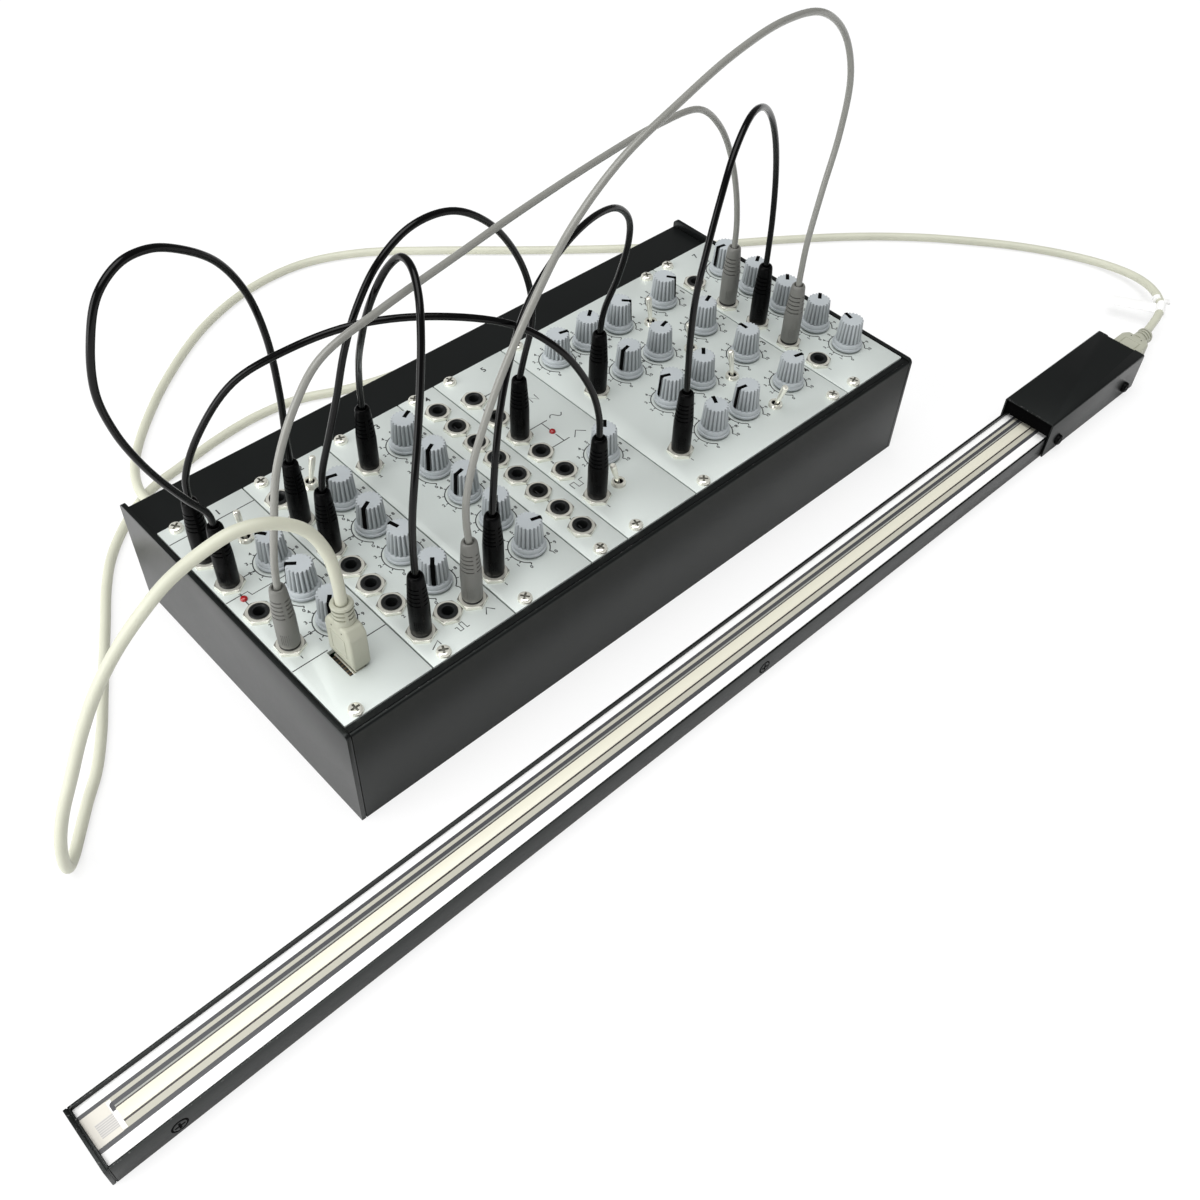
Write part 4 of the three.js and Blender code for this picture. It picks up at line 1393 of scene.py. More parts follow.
class SYNTH_OT_panels(bpy.types.Operator):
    """Build the front panels with their boards, component bodies and the socket"""

    bl_idname = "synth.panels"
    bl_label = "Panels"

    def execute(self, context):
        for front in FRONTS:
            self.plate(front)
            self.underside(front)
            if front.slot:
                self.socket(front.slot)
        return {"FINISHED"}

    def carried(self, front):
        """Place, hole radius, hole depth and body size of each jack, pot and switch."""
        kinds = (
            (front.jacks, SLEEVE_RADIUS, BORE_DEPTH + GAP, JACK_BODY),
            (front.pivots("knob"), SHAFT_BORE, SHAFT_DEPTH + GAP, POT_BODY),
            (front.pivots("toggle"), BUSHING_BORE + GAP, BUSHING_DEPTH, SWITCH_BODY),
        )
        return [(spot, *measures) for spots, *measures in kinds for spot in spots]

    def holes(self, front):
        """One cutter for all the holes of a panel."""
        cutters = []
        for spot, radius, depth, _ in self.carried(front):
            profile = [(radius, RACK.z - depth), (radius, RACK.z + PANEL_THICKNESS)]
            cutters.append(moved(turned("pin", profile, 24), (spot.x, spot.y, 0)))
        return joined("holes", cutters)

    def plate(self, front):
        """The aluminium plate."""
        low = (front.left + JOINT / 2, RACK.y, RACK.z - PANEL_THICKNESS)
        high = (front.left + front.width - JOINT / 2, RACK.y + PANEL_HEIGHT, RACK.z)
        plate = rounded(block(f"{front.name}_plate", low, high), sizes().edge)
        cut(plate, self.holes(front))
        if front.slot:
            cut(plate, centred_block(
                "slot", SLOT_SHORT, SLOT_LONG, RACK.z - 2 * PANEL_THICKNESS,
                RACK.z + PANEL_THICKNESS, front.slot.x, front.slot.y,
            ))
        name = f"{front.name}_panel"
        seat(coat(plate, anodised_panel), stands_for=[name])

    def underside(self, front):
        """The board and the bodies of the jacks, pots and switches."""
        board_top = RACK.z - BOARD_DEPTH
        middle = front.spot(0.5, 0.5)
        board = centred_block(
            f"{front.name}_board", front.width - 2 * BOARD_MARGIN,
            PANEL_HEIGHT - 2 * (RAIL_DEPTH + BOARD_MARGIN), board_top - BOARD_THICKNESS,
            board_top, middle.x, middle.y,
        )
        seat(coat(rounded(board, GAP / 2), circuit_board))
        under = RACK.z - PANEL_THICKNESS
        boxes = []
        for spot, _, _, side in self.carried(front):
            box = centred_block("body", side, side, board_top, under, spot.x, spot.y)
            boxes.append(rounded(box, sizes().edge))
        bank = cut(joined(f"{front.name}_bodies", boxes), self.holes(front))
        seat(coat(bank, black_plastic))

    def socket(self, spot):
        """The metal socket below the slot, in its right half, and the contacts beside it."""
        centre = spot.x + SOCKET_SHIFT
        wall = 2 * (GAP + SOCKET_WALL)
        top = RACK.z - PANEL_THICKNESS - GAP
        socket = centred_block(
            "ribbon_interface_socket", SHELL_THICKNESS + wall, SHELL_WIDTH + wall,
            RACK.z - BOARD_DEPTH, top, centre, spot.y,
        )
        rounded(socket, sizes().edge)
        cut(socket, centred_block(
            "cavity", SHELL_THICKNESS + 2 * GAP, SHELL_WIDTH + 2 * GAP,
            RACK.z + HOOD_LIFT - SHELL_LENGTH - GAP, top + SHEET, centre, spot.y,
        ))
        seat(coat(socket, nickel))
        contacts = centred_block(
            "ribbon_interface_contacts", CONTACT_STRIP, SHELL_WIDTH, RACK.z - BOARD_DEPTH,
            RACK.z - PANEL_THICKNESS, spot.x - SLOT_SHORT / 2 + CONTACT_STRIP, spot.y,
        )
        seat(coat(rounded(contacts, sizes().edge), contact_brass))


class SYNTH_OT_jacks(bpy.types.Operator):
    """Build the nuts and sleeves of the jacks"""

    bl_idname = "synth.jacks"
    bl_label = "Jacks"

    def execute(self, context):
        nut = self.nut()
        sleeve = self.sleeve()
        for front in FRONTS:
            nuts = [
                copied(nut, placed(spot, NUT_TURN * (number * 7 % 5 - 2)))
                for number, spot in enumerate(front.jacks)
            ]
            sleeves = [copied(sleeve, spot) for spot in front.jacks]
            seat(joined(f"{front.name}_nuts", nuts))
            seat(joined(f"{front.name}_sleeves", sleeves))
        drop(nut, sleeve)
        return {"FINISHED"}

    def nut(self):
        """A hexagon nut whose corners are turned off."""
        nut = turned("nut", [(NUT_RADIUS, 0), (NUT_RADIUS, NUT_HEIGHT + GAP / 2)], 6)
        chamfer = turned("chamfer", [
            (NUT_RADIUS + GAP, -GAP),
            (NUT_RADIUS + GAP, NUT_HEIGHT - NUT_CHAMFER),
            (NUT_RADIUS - NUT_CORNER, NUT_HEIGHT + GAP),
        ], 48)
        cut(nut, chamfer, "INTERSECT")
        cut(nut, turned("hole", [(RING_RADIUS, -GAP), (RING_RADIUS, RING_HEIGHT + GAP)], 48))
        rounded(nut, NUT_ROUND, segments=1, angle=25)
        # Painted shade on the sloping faces of the turned-off corners.
        mark(nut, lambda face: 0.1 < abs(face.normal.z) < 0.93, 0.7)
        return coat(nut, nickel)

    def sleeve(self):
        """The black ring with its stepped mouth and the bore below."""
        return coat(turned("sleeve", [
            (SLEEVE_RADIUS, -BORE_DEPTH - GAP),
            (SLEEVE_RADIUS, GAP / 2),
            (RING_RADIUS, GAP / 2),
            *rings(RING_RADIUS, RING_HEIGHT, RING_STEP, (0, -1), (-1, 0)),
            *rings(
                BORE_RADIUS, RING_HEIGHT, RING_STEP,
                (3.6, 0), (2.6, -1.4), (0.5, -1.6), (0, -2.4),
            ),
            (BORE_RADIUS, -BORE_DEPTH),
        ]), ring_black)


class SYNTH_OT_screws(bpy.types.Operator):
    """Build the screws of the panels"""

    bl_idname = "synth.screws"
    bl_label = "Panel screws"

    def execute(self, context):
        screw = cross_screw("screw", SCREW_RADIUS, SCREW_HEIGHT, nickel)
        for number, front in enumerate(FRONTS):
            columns = (front.left + SCREW_INSET, front.left + front.width - SCREW_INSET)
            heads = []
            for x in columns[:front.screw_columns]:
                for y in (RACK.y + SCREW_EDGE, RACK.y + PANEL_HEIGHT - SCREW_EDGE):
                    turn = SCREW_TURNS[0] * len(heads) + SCREW_TURNS[1] * number
                    heads.append(copied(screw, placed((x, y, RACK.z), turn)))
            seat(joined(f"{front.name}_screws", heads))
        drop(screw)
        return {"FINISHED"}


def cross_screw(name, radius, height, maker):
    """A pan head with a cross recess."""
    head = turned(name, [
        (radius, -GAP),
        (radius, 0.45 * height),
        (0.94 * radius, 0.72 * height),
        (0.8 * radius, 0.94 * height),
        (0.6 * radius, height),
    ], 28)
    bottom = height - CROSS_DEPTH
    for width, depth in ((CROSS_WIDTH, CROSS_LENGTH), (CROSS_LENGTH, CROSS_WIDTH)):
        cut(head, centred_block("slot", width, depth, bottom, height + GAP))
    reach = CROSS_LENGTH / 2 + GAP / 10
    # Painted shade in the cross recess, which the nickel finish shows as a darker tone.
    mark(head, lambda face: (
        face.center.xy.length < reach and (face.normal.z < 0.1 or face.center.z < height - GAP)
    ), 0.65)
    return coat(head, maker)


class SYNTH_OT_knobs(bpy.types.Operator):
    """Build the fluted knobs"""

    bl_idname = "synth.knobs"
    bl_label = "Knobs"

    def execute(self, context):
        knob = self.knob()
        for front in FRONTS:
            for joint in front.joints("knob"):
                name = joint["child"]
                x, y, _ = joint["pos_m"]
                turn = placed((x, y, RACK.z), -middle_of(joint))
                piece = copied(knob, turn, f"{name}_grip")
                seat(piece, body=name, stands_for=[name])
        drop(knob)
        return {"FINISHED"}

    def knob(self):
        """One knob with its pointer towards the back."""
        flutes = sizes().flutes
        rim = KNOB_RIM
        knob = turned("knob", [
            (SHAFT_RADIUS, -SHAFT_DEPTH),
            (SHAFT_RADIUS, KNOB_LIFT),
            *rings(SKIRT_RADIUS, KNOB_LIFT, rim, (-1, 0), (0, 1)),
            *rings(
                SKIRT_RADIUS, SKIRT_TOP, rim,
                (0, -1), (-0.6, 0), (-2.2, 0.2), (-2, 1.4), (-2.6, 4.4),
            ),
            (SKIRT_RADIUS - 4 * rim, GRIP_BASE - 1.4 * rim),
            *rings(
                GRIP_BASE_RADIUS, GRIP_BASE, rim, (-1.2, -0.6), (-2, -0.4), (-0.7, 0), (0, 1.6),
            ),
            *rings(GRIP_TOP_RADIUS, GRIP_TOP, rim, (0, -0.8), (-0.7, 0), (-1.8, 0)),
        ], flutes * FLUTE_COLUMNS)
        pitch = 2 * math.pi / flutes
        depth = FLUTE_DEPTH / GRIP_BASE_RADIUS
        foot = GRIP_BASE - 0.2 * rim
        edit(knob, "VERT")
        for column, share in FLUTE_SHARES:
            choose(knob, "verts", lambda vert, column=column: (
                vert.co.z > foot
                and abs(self.flute_share(vert, pitch) * FLUTE_COLUMNS - column) < 0.4
            ))
            reach = 1 - share * depth
            bpy.ops.transform.resize(value=(reach, reach, 1), center_override=(0, 0, 0))
        put_down()
        # Painted shade: each point of the grip gets more shade the nearer it lies to the valley
        # of its flute.
        hollow = knob.data.attributes.new("hollow", "FLOAT", "POINT")
        for vert, depth in zip(knob.data.vertices, hollow.data):
            if foot < vert.co.z < GRIP_TOP - 0.4 * rim:
                depth.value = max(0.0, 3 * self.flute_share(vert, pitch) - 0.5)
        coat(knob, knob_plastic)
        return joined("knob", [knob, *self.pointer()])

    def flute_share(self, vert, pitch):
        """How far a point is from the crest of its rib, as a share of the pitch."""
        angle = math.atan2(vert.co.y, vert.co.x) - math.pi / 2
        share = (angle / pitch) % 1
        return min(share, 1 - share)

    def pointer(self):
        """The black line over the top of the knob and down its side."""
        half = POINTER_WIDTH / 2
        top = block(
            "pointer_top", (-half, POINTER_START, GRIP_TOP - KNOB_RIM),
            (half, GRIP_TOP_RADIUS + POINTER_RISE, GRIP_TOP + POINTER_RISE),
        )
        side = block(
            "pointer_side", (-half, GRIP_BASE_RADIUS - KNOB_RIM, GRIP_BASE + 1.5 * KNOB_RIM),
            (half, GRIP_BASE_RADIUS + POINTER_RISE, GRIP_TOP + POINTER_RISE),
        )
        slant(side, (0, GRIP_TOP_RADIUS - GRIP_BASE_RADIUS, 0))
        return [coat(rounded(piece, POINTER_ROUND), dull_black) for piece in (top, side)]


class SYNTH_OT_toggles(bpy.types.Operator):
    """Build the toggle switches"""

    bl_idname = "synth.toggles"
    bl_label = "Toggle switches"

    def execute(self, context):
        lever = self.lever()
        for front in FRONTS:
            bushings = []
            for joint in front.joints("toggle"):
                name = joint["child"]
                pivot = Vector(joint["pos_m"])
                turn = placed(pivot, -middle_of(joint), Vector(joint["axis"]))
                piece = copied(lever, turn, f"{name}_lever")
                seat(piece, body=name, stands_for=[name])
                tall = pivot.z > RACK.z + MM
                height = TALL_BUSHING_HEIGHT if tall else BUSHING_HEIGHT
                mouth = joined("bushing", [self.bushing(height), self.well(height)])
                bushings.append(moved(mouth, (pivot.x, pivot.y, RACK.z)))
            if bushings:
                seat(joined(f"{front.name}_bushings", bushings))
        drop(lever)
        return {"FINISHED"}

    def lever(self):
        """A bat lever that widens towards its end."""
        return coat(turned("lever", [
            (0.5 * LEVER_NECK, -0.86 * LEVER_ROOT),
            (LEVER_NECK, -0.6 * LEVER_ROOT),
            (LEVER_NECK, 1.2 * LEVER_ROOT),
            (LEVER_END, 0.72 * LEVER_LENGTH),
            *rings(LEVER_END, LEVER_LENGTH, LEVER_ROUND, (0, -2), (-0.3, -0.8), (-1.2, 0)),
        ], 20), nickel)

    def bushing(self, height):
        """A threaded bushing with an open mouth."""
        profile = [(BUSHING_RADIUS, -BUSHING_ROOT), (BUSHING_RADIUS, GAP)]
        for turn in range(int((height - 2 * GAP) / THREAD_PITCH)):
            start = GAP + turn * THREAD_PITCH
            profile.append((BUSHING_RADIUS - THREAD_DEPTH, start + 0.3 * THREAD_PITCH))
            profile.append((BUSHING_RADIUS, start + 0.8 * THREAD_PITCH))
        profile += [
            (BUSHING_RADIUS - GAP, height),
            (BUSHING_BORE + GAP / 2, height),
            (BUSHING_BORE, height - GAP),
            (BUSHING_BORE, GAP - BUSHING_ROOT),
        ]
        return coat(turned("bushing", profile, 28), nickel)

    def well(self, height):
        """The dark inside of a bushing: black plastic that stands in as painted shade."""
        return coat(turned("well", [
            (BUSHING_BORE, GAP / 2 - BUSHING_ROOT),
            *rings(BUSHING_BORE, height, GAP, (0, -2), (-0.5, -2.5)),
            (BUSHING_BORE - GAP / 2, GAP - BUSHING_ROOT),
        ], 28), black_plastic)


class SYNTH_OT_lamps(bpy.types.Operator):
    """Build the signal lamps"""

    bl_idname = "synth.lamps"
    bl_label = "Signal lamps"

    def execute(self, context):
        for front in FRONTS:
            for number, spot in enumerate(front.lamps, 1):
                lens = turned(f"{front.name}_lamp_{number}", [
                    (LAMP_RADIUS, -GAP),
                    (LAMP_RADIUS, 0.3 * LAMP_HEIGHT),
                    (0.9 * LAMP_RADIUS, 0.62 * LAMP_HEIGHT),
                    (0.66 * LAMP_RADIUS, 0.86 * LAMP_HEIGHT),
                    (0.3 * LAMP_RADIUS, LAMP_HEIGHT),
                ], 24)
                seat(coat(moved(lens, spot), lamp_lens), smooth=60)
        return {"FINISHED"}


# Printed lines and wave signs in millimetres from the front left corner of their panel
PRINTED_LINES = {
    "ribbon_interface": [
        [(0.5, 119.1), (40.2, 119.1)],
        [(0.5, 32.9), (16.3, 32.9)],
        [(24.6, 28.7), (40.2, 28.7)],
        [(12.6, 44.1), (18.7, 44.1)],
        [(0.5, 77.7), (10.2, 77.7), (10.7, 75.2), (40.2, 75.2)],
        [(12.6, 85.2), (18.6, 85.2)],
        [(6.8, 73.8), (6.8, 70.1)],
    ],
    "oscillator": [
        [(13, 75.3), (18.8, 75.3)],
        [(5.2, 6.8), (9.4, 9.2), (9.4, 6.8)],
        [
            (18, 9.4), (19, 9.4), (19, 7), (20.6, 7), (20.6, 10.4), (22.2, 10.4), (22.2, 7),
            (23.4, 7),
        ],
        [(31.7, 6.9), (33.9, 9.7), (36.1, 6.9)],
    ],
    "lfo": [
        [(13.8, 107.6), (23.6, 107.6)],
        [(13.6, 76.9), (23.8, 76.9)],
        [(13.6, 61.8), (23.8, 61.8)],
        [(20.6, 76.9), (20.6, 71.4)],
        [(20.6, 67.4), (20.6, 61.8)],
        [(27.2, 90.2), (27.6, 94.2), (30.8, 90.2), (31.2, 94.2)],
        [(25.6, 60.3), (29, 63.6), (32.4, 60.3)],
        [(3.4, 36), (3.4, 39.4), (5.8, 39.4), (5.8, 36), (8.4, 36), (8.4, 39.4), (10.6, 39.4)],
    ],
}
ARROW_TIPS = [(13.4, 107.6), (13.2, 76.9), (13.2, 61.8)]
SINE_SIGN = (25.8, 77, 6.6, 1.5)
SINE_STEPS = 16
ARROW_RADIUS = 0.95 * MM
UNNUMBERED = {"oscillator": (1, 8, 9), "lfo": (2,)}
BAND_NUMBERS = [(99.4, 105.2), (99.4, 77.6), (99.4, 50.9), (99.4, 23.6)]
TITLE_PLACE = (0.62, 0.955)
LARGE_NUMBER = 1.9


class SYNTH_OT_print(bpy.types.Operator):
    """Print the dials, numbers, lines and wave signs on the panels"""

    bl_idname = "synth.print"
    bl_label = "Print"

    def execute(self, context):
        small = {value: self.number(str(value), 1) for value in range(DIAL_STEPS + 1)}
        large = {
            value: self.number(str(value), LARGE_NUMBER) for value in range(1, len(FRONTS) + 1)
        }
        under = Vector((0, NUT_RADIUS + 0.55 * sizes().number_size, 0))
        for index, front in enumerate(FRONTS, 1):
            lines = [
                [front.point(*point) for point in line]
                for line in PRINTED_LINES.get(front.name, ())
            ]
            pieces = []
            for spot in front.pivots("knob"):
                lines += self.dial(spot)
                for value in range(DIAL_STEPS + 1):
                    place = self.dial_point(spot, value, DIAL_NUMBERS)
                    pieces.append(copied(small[value], place))
            if front.name == "multiple":
                lines += self.links(front.jacks)
            else:
                for value, spot in enumerate(front.jacks, 1):
                    if value not in UNNUMBERED.get(front.name, ()):
                        pieces.append(copied(small[value], spot - under))
            pieces.append(copied(large[index], front.spot(*TITLE_PLACE)))
            if front.name == "lfo":
                lines.append(self.sine(front))
                pieces += [moved(self.arrow(), front.point(*tip)) for tip in ARROW_TIPS]
            if front.name == "formant_filter":
                for value, point in enumerate(BAND_NUMBERS, 1):
                    pieces.append(copied(large[value], front.point(*point)))
            if lines:
                pieces.append(self.strokes(lines))
            seat(coat(joined(f"{front.name}_print", pieces), panel_ink))
        drop(*small.values(), *large.values())
        return {"FINISHED"}

    def sine(self, front):
        """One period of a sine wave."""
        x, y, length, height = SINE_SIGN
        shares = [step / SINE_STEPS for step in range(SINE_STEPS + 1)]
        return [
            front.point(x + length * share, y + height * math.sin(math.tau * share))
            for share in shares
        ]

    def arrow(self):
        """A small arrow tip that points to the left."""
        arrow = turned("arrow", [(ARROW_RADIUS, -INK_RISE), (ARROW_RADIUS, INK_RISE)], 3)
        return moved(arrow, Matrix.Rotation(QUARTER, 4, "Z"))

    def number(self, text, factor):
        """A printed number, centred on the origin."""
        put_down()
        bpy.ops.object.text_add()
        piece = bpy.context.object
        piece.data.body = text
        piece.data.size = sizes().number_size * factor
        piece.data.offset = 0.03 * sizes().number_size
        piece.data.align_x = "CENTER"
        piece.data.align_y = "CENTER"
        piece.data.resolution_u = 2
        piece.data.extrude = INK_RISE
        bpy.ops.object.convert(target="MESH")
        return bpy.context.object

    def dial_point(self, spot, value, radius):
        """A point at a value of a dial, clockwise from the lower left."""
        angle = math.pi / 2 + DIAL_SWEEP / 2 - DIAL_SWEEP * value / DIAL_STEPS
        reach = Vector((math.cos(angle), math.sin(angle), 0)) * radius
        return Vector((spot.x, spot.y, RACK.z)) + reach

    def dial(self, spot):
        """The arc of a dial and its ticks."""
        shares = [step / 4 for step in range(4 * DIAL_STEPS + 1)]
        ring = [self.dial_point(spot, value, DIAL_RADIUS) for value in shares]
        ends = (DIAL_RADIUS, DIAL_RADIUS + DIAL_TICK)
        ticks = [
            [self.dial_point(spot, value, radius) for radius in ends]
            for value in range(DIAL_STEPS + 1)
        ]
        return [ring, *ticks]

    def links(self, places):
        """Short lines between the jacks of each four that are joined."""
        pairs = list(zip(places, places[1:]))
        return [list(pair) for pair in pairs[:3] + pairs[4:]]

    def strokes(self, lines):
        """Thin flat lines of ink along lists of points."""
        piece = round_path("strokes", lines, sizes().ink_line, 0)
        take(piece)
        bpy.ops.object.convert(target="MESH")
        piece = bpy.context.object
        edit(piece, action="SELECT")
        flat = 2 * INK_RISE / sizes().ink_line
        bpy.ops.transform.resize(value=(1, 1, flat), center_override=(0, 0, RACK.z))
        put_down()
        return piece


class SYNTH_OT_leads(bpy.types.Operator):
    """Build the patch leads with their plugs"""

    bl_idname = "synth.leads"
    bl_label = "Patch leads"

    def execute(self, context):
        kinds = {
            "black": (self.plug(black_plastic), lead_black),
            "grey": (self.plug(plug_grey), lead_grey),
        }
        diameter = sizes().lead_diameter
        rise = Vector((0, 0, PLUG_TOP - diameter / 2))
        for number, (tone, *ends, points) in enumerate(LEADS, 1):
            plug, jacket = kinds[tone]
            start, end = (FRONTS[index].jacks[jack] for index, jack in ends)
            pair = joined(f"lead_{number}_plugs", [copied(plug, start), copied(plug, end)])
            seat(pair)
            piece = cord(
                f"lead_{number}_cord", [start + rise, *map(from_rack, points), end + rise],
                diameter, jacket, f"patch_lead_{number}",
            )
        drop(*(plug for plug, _ in kinds.values()))
        return {"FINISHED"}

    def plug(self, maker):
        """A plug with its metal tip, grip ribs and ringed strain relief."""
        tip_end = PLUG_LIFT - TIP_LENGTH
        tip = coat(turned("tip", [
            (0.3 * TIP_RADIUS, tip_end),
            (0.8 * TIP_RADIUS, tip_end + 0.06 * TIP_LENGTH),
            (0.68 * TIP_RADIUS, tip_end + 0.16 * TIP_LENGTH),
            (TIP_RADIUS, tip_end + 0.22 * TIP_LENGTH),
            (TIP_RADIUS, PLUG_LIFT + GAP),
        ], 20), nickel)
        profile = rings(PLUG_RADIUS, PLUG_LIFT, PLUG_BEVEL, (-2, 0), (-0.6, 1), (0, 3))
        profile.append((PLUG_RADIUS, BARREL_TOP))
        for slot in range(RELIEF_SLOTS):
            start = RELIEF_START + RELIEF_PITCH * slot
            radius = self.relief_radius(start)
            profile += notch(radius, radius - RELIEF_GROOVE, start, RELIEF_SLOT)
        radius = self.relief_radius(PLUG_TOP - PLUG_DOME)
        mouth = sizes().lead_diameter / 2 + GAP
        crown = (
            (radius, 1), (0.95 * radius, 0.5), (0.84 * radius, 0.12), (0.72 * radius, 0),
            (mouth + GAP, 0.1), (mouth, 0.7),
        )
        profile += [(reach, PLUG_TOP - fall * PLUG_DOME) for reach, fall in crown]
        parts = [coat(turned("plug", profile), maker), tip]
        for side in (PLUG_FACING, PLUG_FACING + math.pi):
            parts += [self.rib(side + turn, maker) for turn in RIB_TURNS]
            parts.append(self.spine(side + SPINE_TURN, maker))
        return joined("plug", parts)

    def relief_radius(self, height):
        """The radius of the tapered strain relief at a height."""
        return PLUG_RADIUS - (height - BARREL_TOP) * RELIEF_TAPER

    def spine(self, turn, maker):
        """An upright bar that parts the slots of the strain relief."""
        low = RELIEF_START - RELIEF_SLOT
        high = RELIEF_START + RELIEF_PITCH * RELIEF_SLOTS
        radius = self.relief_radius(low)
        spine = block(
            "spine", (radius - 2 * RELIEF_GROOVE, -SPINE_HALF, low),
            (radius - SPINE_INSET, SPINE_HALF, high),
        )
        slant(spine, (self.relief_radius(high) - radius, 0, 0))
        return coat(moved(spine, Matrix.Rotation(turn, 4, "Z")), maker)

    def rib(self, turn, maker):
        """A thin upright rib on the barrel."""
        start, end = (PLUG_LIFT + share * BARREL_TOP for share in RIB_SHARES)
        low = (PLUG_RADIUS - RIB_PROUD, -RIB_HALF, start)
        high = (PLUG_RADIUS + RIB_PROUD, RIB_HALF, end)
        rib = rounded(block("rib", low, high), RIB_ROUND)
        return coat(moved(rib, Matrix.Rotation(turn, 4, "Z")), maker)


class SYNTH_OT_control_cable(bpy.types.Operator):
    """Build the control cable with its two flat connectors"""

    bl_idname = "synth.control_cable"
    bl_label = "Control cable"

    def execute(self, context):
        spot = FRONTS[0].slot + Vector((SOCKET_SHIFT, 0, 0))
        diameter = sizes().cable_diameter
        reach = HOOD_LIFT + HOOD_LENGTH + COLLAR_LENGTH
        low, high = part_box("ribbon_channel")
        far = Vector((high.x, (low.y + high.y) / 2, SOCKET_CENTRE))
        model = self.connector()
        near_plug = copied(model, spot, "cable_near_connector")
        far_plug = copied(model, placed(far, QUARTER, "Y"), "cable_far_connector")
        drop(model)
        seat(near_plug)
        seat(far_plug)
        start = spot + Vector((0, 0, reach - diameter / 2))
        end = far + Vector((reach - diameter / 2, 0, 0))
        tag = self.tag(end, diameter)
        piece = cord(
            "cable_cord", [start, *map(from_rack, CABLE_ROUTE), end], diameter, cable_ivory,
            "control_cable",
        )
        spot + Vector((0, 0, reach))
        return {"FINISHED"}

    def tag(self, end, diameter):
        """A blank white tag folded round the cable near its far end, and a tie beside it."""
        before, after = from_rack(CABLE_ROUTE[-2]), from_rack(CABLE_ROUTE[-1])
        radius = diameter / 2 + GAP
        sheet = self.wrap(after, end - before, radius, TAG_LENGTH, TAG_THICKNESS, TAG_REACH)
        beside = (before + after) / 2
        tie = self.wrap(beside, before - after, radius, TIE_LENGTH, TIE_THICKNESS, TIE_REACH)
        tag = joined("cable_tag", [sheet, tie])
        seat(coat(tag, white_strip))
        return tag

    def wrap(self, middle, along, radius, length, thickness, reach):
        """A band round the cable with a tongue that stands off it to one side."""
        along = along.normalized()
        side = Vector((along.y, -along.x, -TONGUE_FALL)).normalized()
        side = (side - along * side.dot(along)).normalized()
        half = length / 2
        band = turned("band", [(radius, -half), (radius, half)])
        tongue = block("tongue", (-thickness / 2, 0, -half), (thickness / 2, reach, half))
        axes = Matrix((side.cross(along), side, along)).transposed().to_4x4()
        wrap = joined("wrap", [band, rounded(tongue, TONGUE_ROUND)])
        return moved(wrap, Matrix.Translation(middle) @ axes)

    def connector(self):
        """A flat connector that points down: shell, hood, shoulders and ringed collar."""
        shell = centred_block(
            "shell", SHELL_THICKNESS, SHELL_WIDTH, HOOD_LIFT - SHELL_LENGTH, HOOD_LIFT + GAP,
        )
        coat(rounded(shell, SHELL_ROUND), nickel)
        top = HOOD_LIFT + HOOD_LENGTH
        shoulder = top - HOOD_SHOULDER
        parts = [self.hood(shoulder), shell, self.collar(top)]
        spine_top = top + COLLAR_LENGTH - COLLAR_SPINE_DROP
        for turn in COLLAR_SPINE_TURNS:
            spine = centred_block("spine", COLLAR_SPINE_DEPTH, COLLAR_SPINE, top, spine_top)
            moved(spine, (COLLAR_RADIUS - COLLAR_SPINE_INSET, 0, 0))
            parts.append(coat(moved(spine, Matrix.Rotation(turn, 4, "Z")), hood_ivory))
        # Each side gets a dark dot on the hood face, which is painted shade for a small dimple,
        # and a seam line.
        for side in (-1, 1):
            dot = turned("dot", [(DOT_RADIUS, 0), (DOT_RADIUS, DOT_DEPTH)], 12)
            place = (-HOOD_THICKNESS / 2, side * DOT_SIDE, shoulder + DOT_RISE)
            parts.append(coat(moved(dot, placed(place, QUARTER, "Y")), dull_black))
            seam = centred_block(
                "seam", SEAM_WIDTH, SEAM_DEPTH, HOOD_LIFT + HOOD_ROUND,
                shoulder - HOOD_ROUND, y=side * HOOD_WIDTH / 2,
            )
            parts.append(coat(seam, hood_ivory))
        return joined("connector", parts)

    def hood(self, shoulder):
        """The flat hood: shoulders that narrow to the collar, rounded ends and a sunk frame."""
        hood = centred_block("hood", HOOD_THICKNESS, HOOD_WIDTH, HOOD_LIFT, shoulder)
        edit(hood)
        choose(hood, "faces", lambda face: face.normal.z > 0.5)
        bpy.ops.mesh.extrude_region_move(TRANSFORM_OT_translate={"value": (0, 0, HOOD_SHOULDER)})
        bpy.ops.transform.resize(value=(0.96, 0.72, 1), center_override=(0, 0, 0))
        choose(hood, "edges", lambda edge: (
            max(vert.co.z for vert in edge.verts) < HOOD_LIFT + GAP
            and abs(edge.verts[0].co.x - edge.verts[1].co.x) < GAP
        ))
        bpy.ops.mesh.bevel(offset=1.8 * HOOD_ROUND, segments=5)
        put_down()
        rounded(hood, HOOD_ROUND, segments=4, angle=20)
        edit(hood)
        choose(hood, "faces", lambda face: (
            abs(face.normal.x) > 0.99 and face.calc_area() > 0.5 * HOOD_WIDTH * HOOD_WIDTH
        ))
        bpy.ops.mesh.inset(thickness=HOOD_INSET, use_individual=True)
        for depth in (-1.4 * HOOD_LINE, 1.4 * HOOD_LINE):
            bpy.ops.mesh.inset(thickness=HOOD_LINE, depth=depth, use_individual=True)
        put_down()
        return coat(hood, hood_ivory)

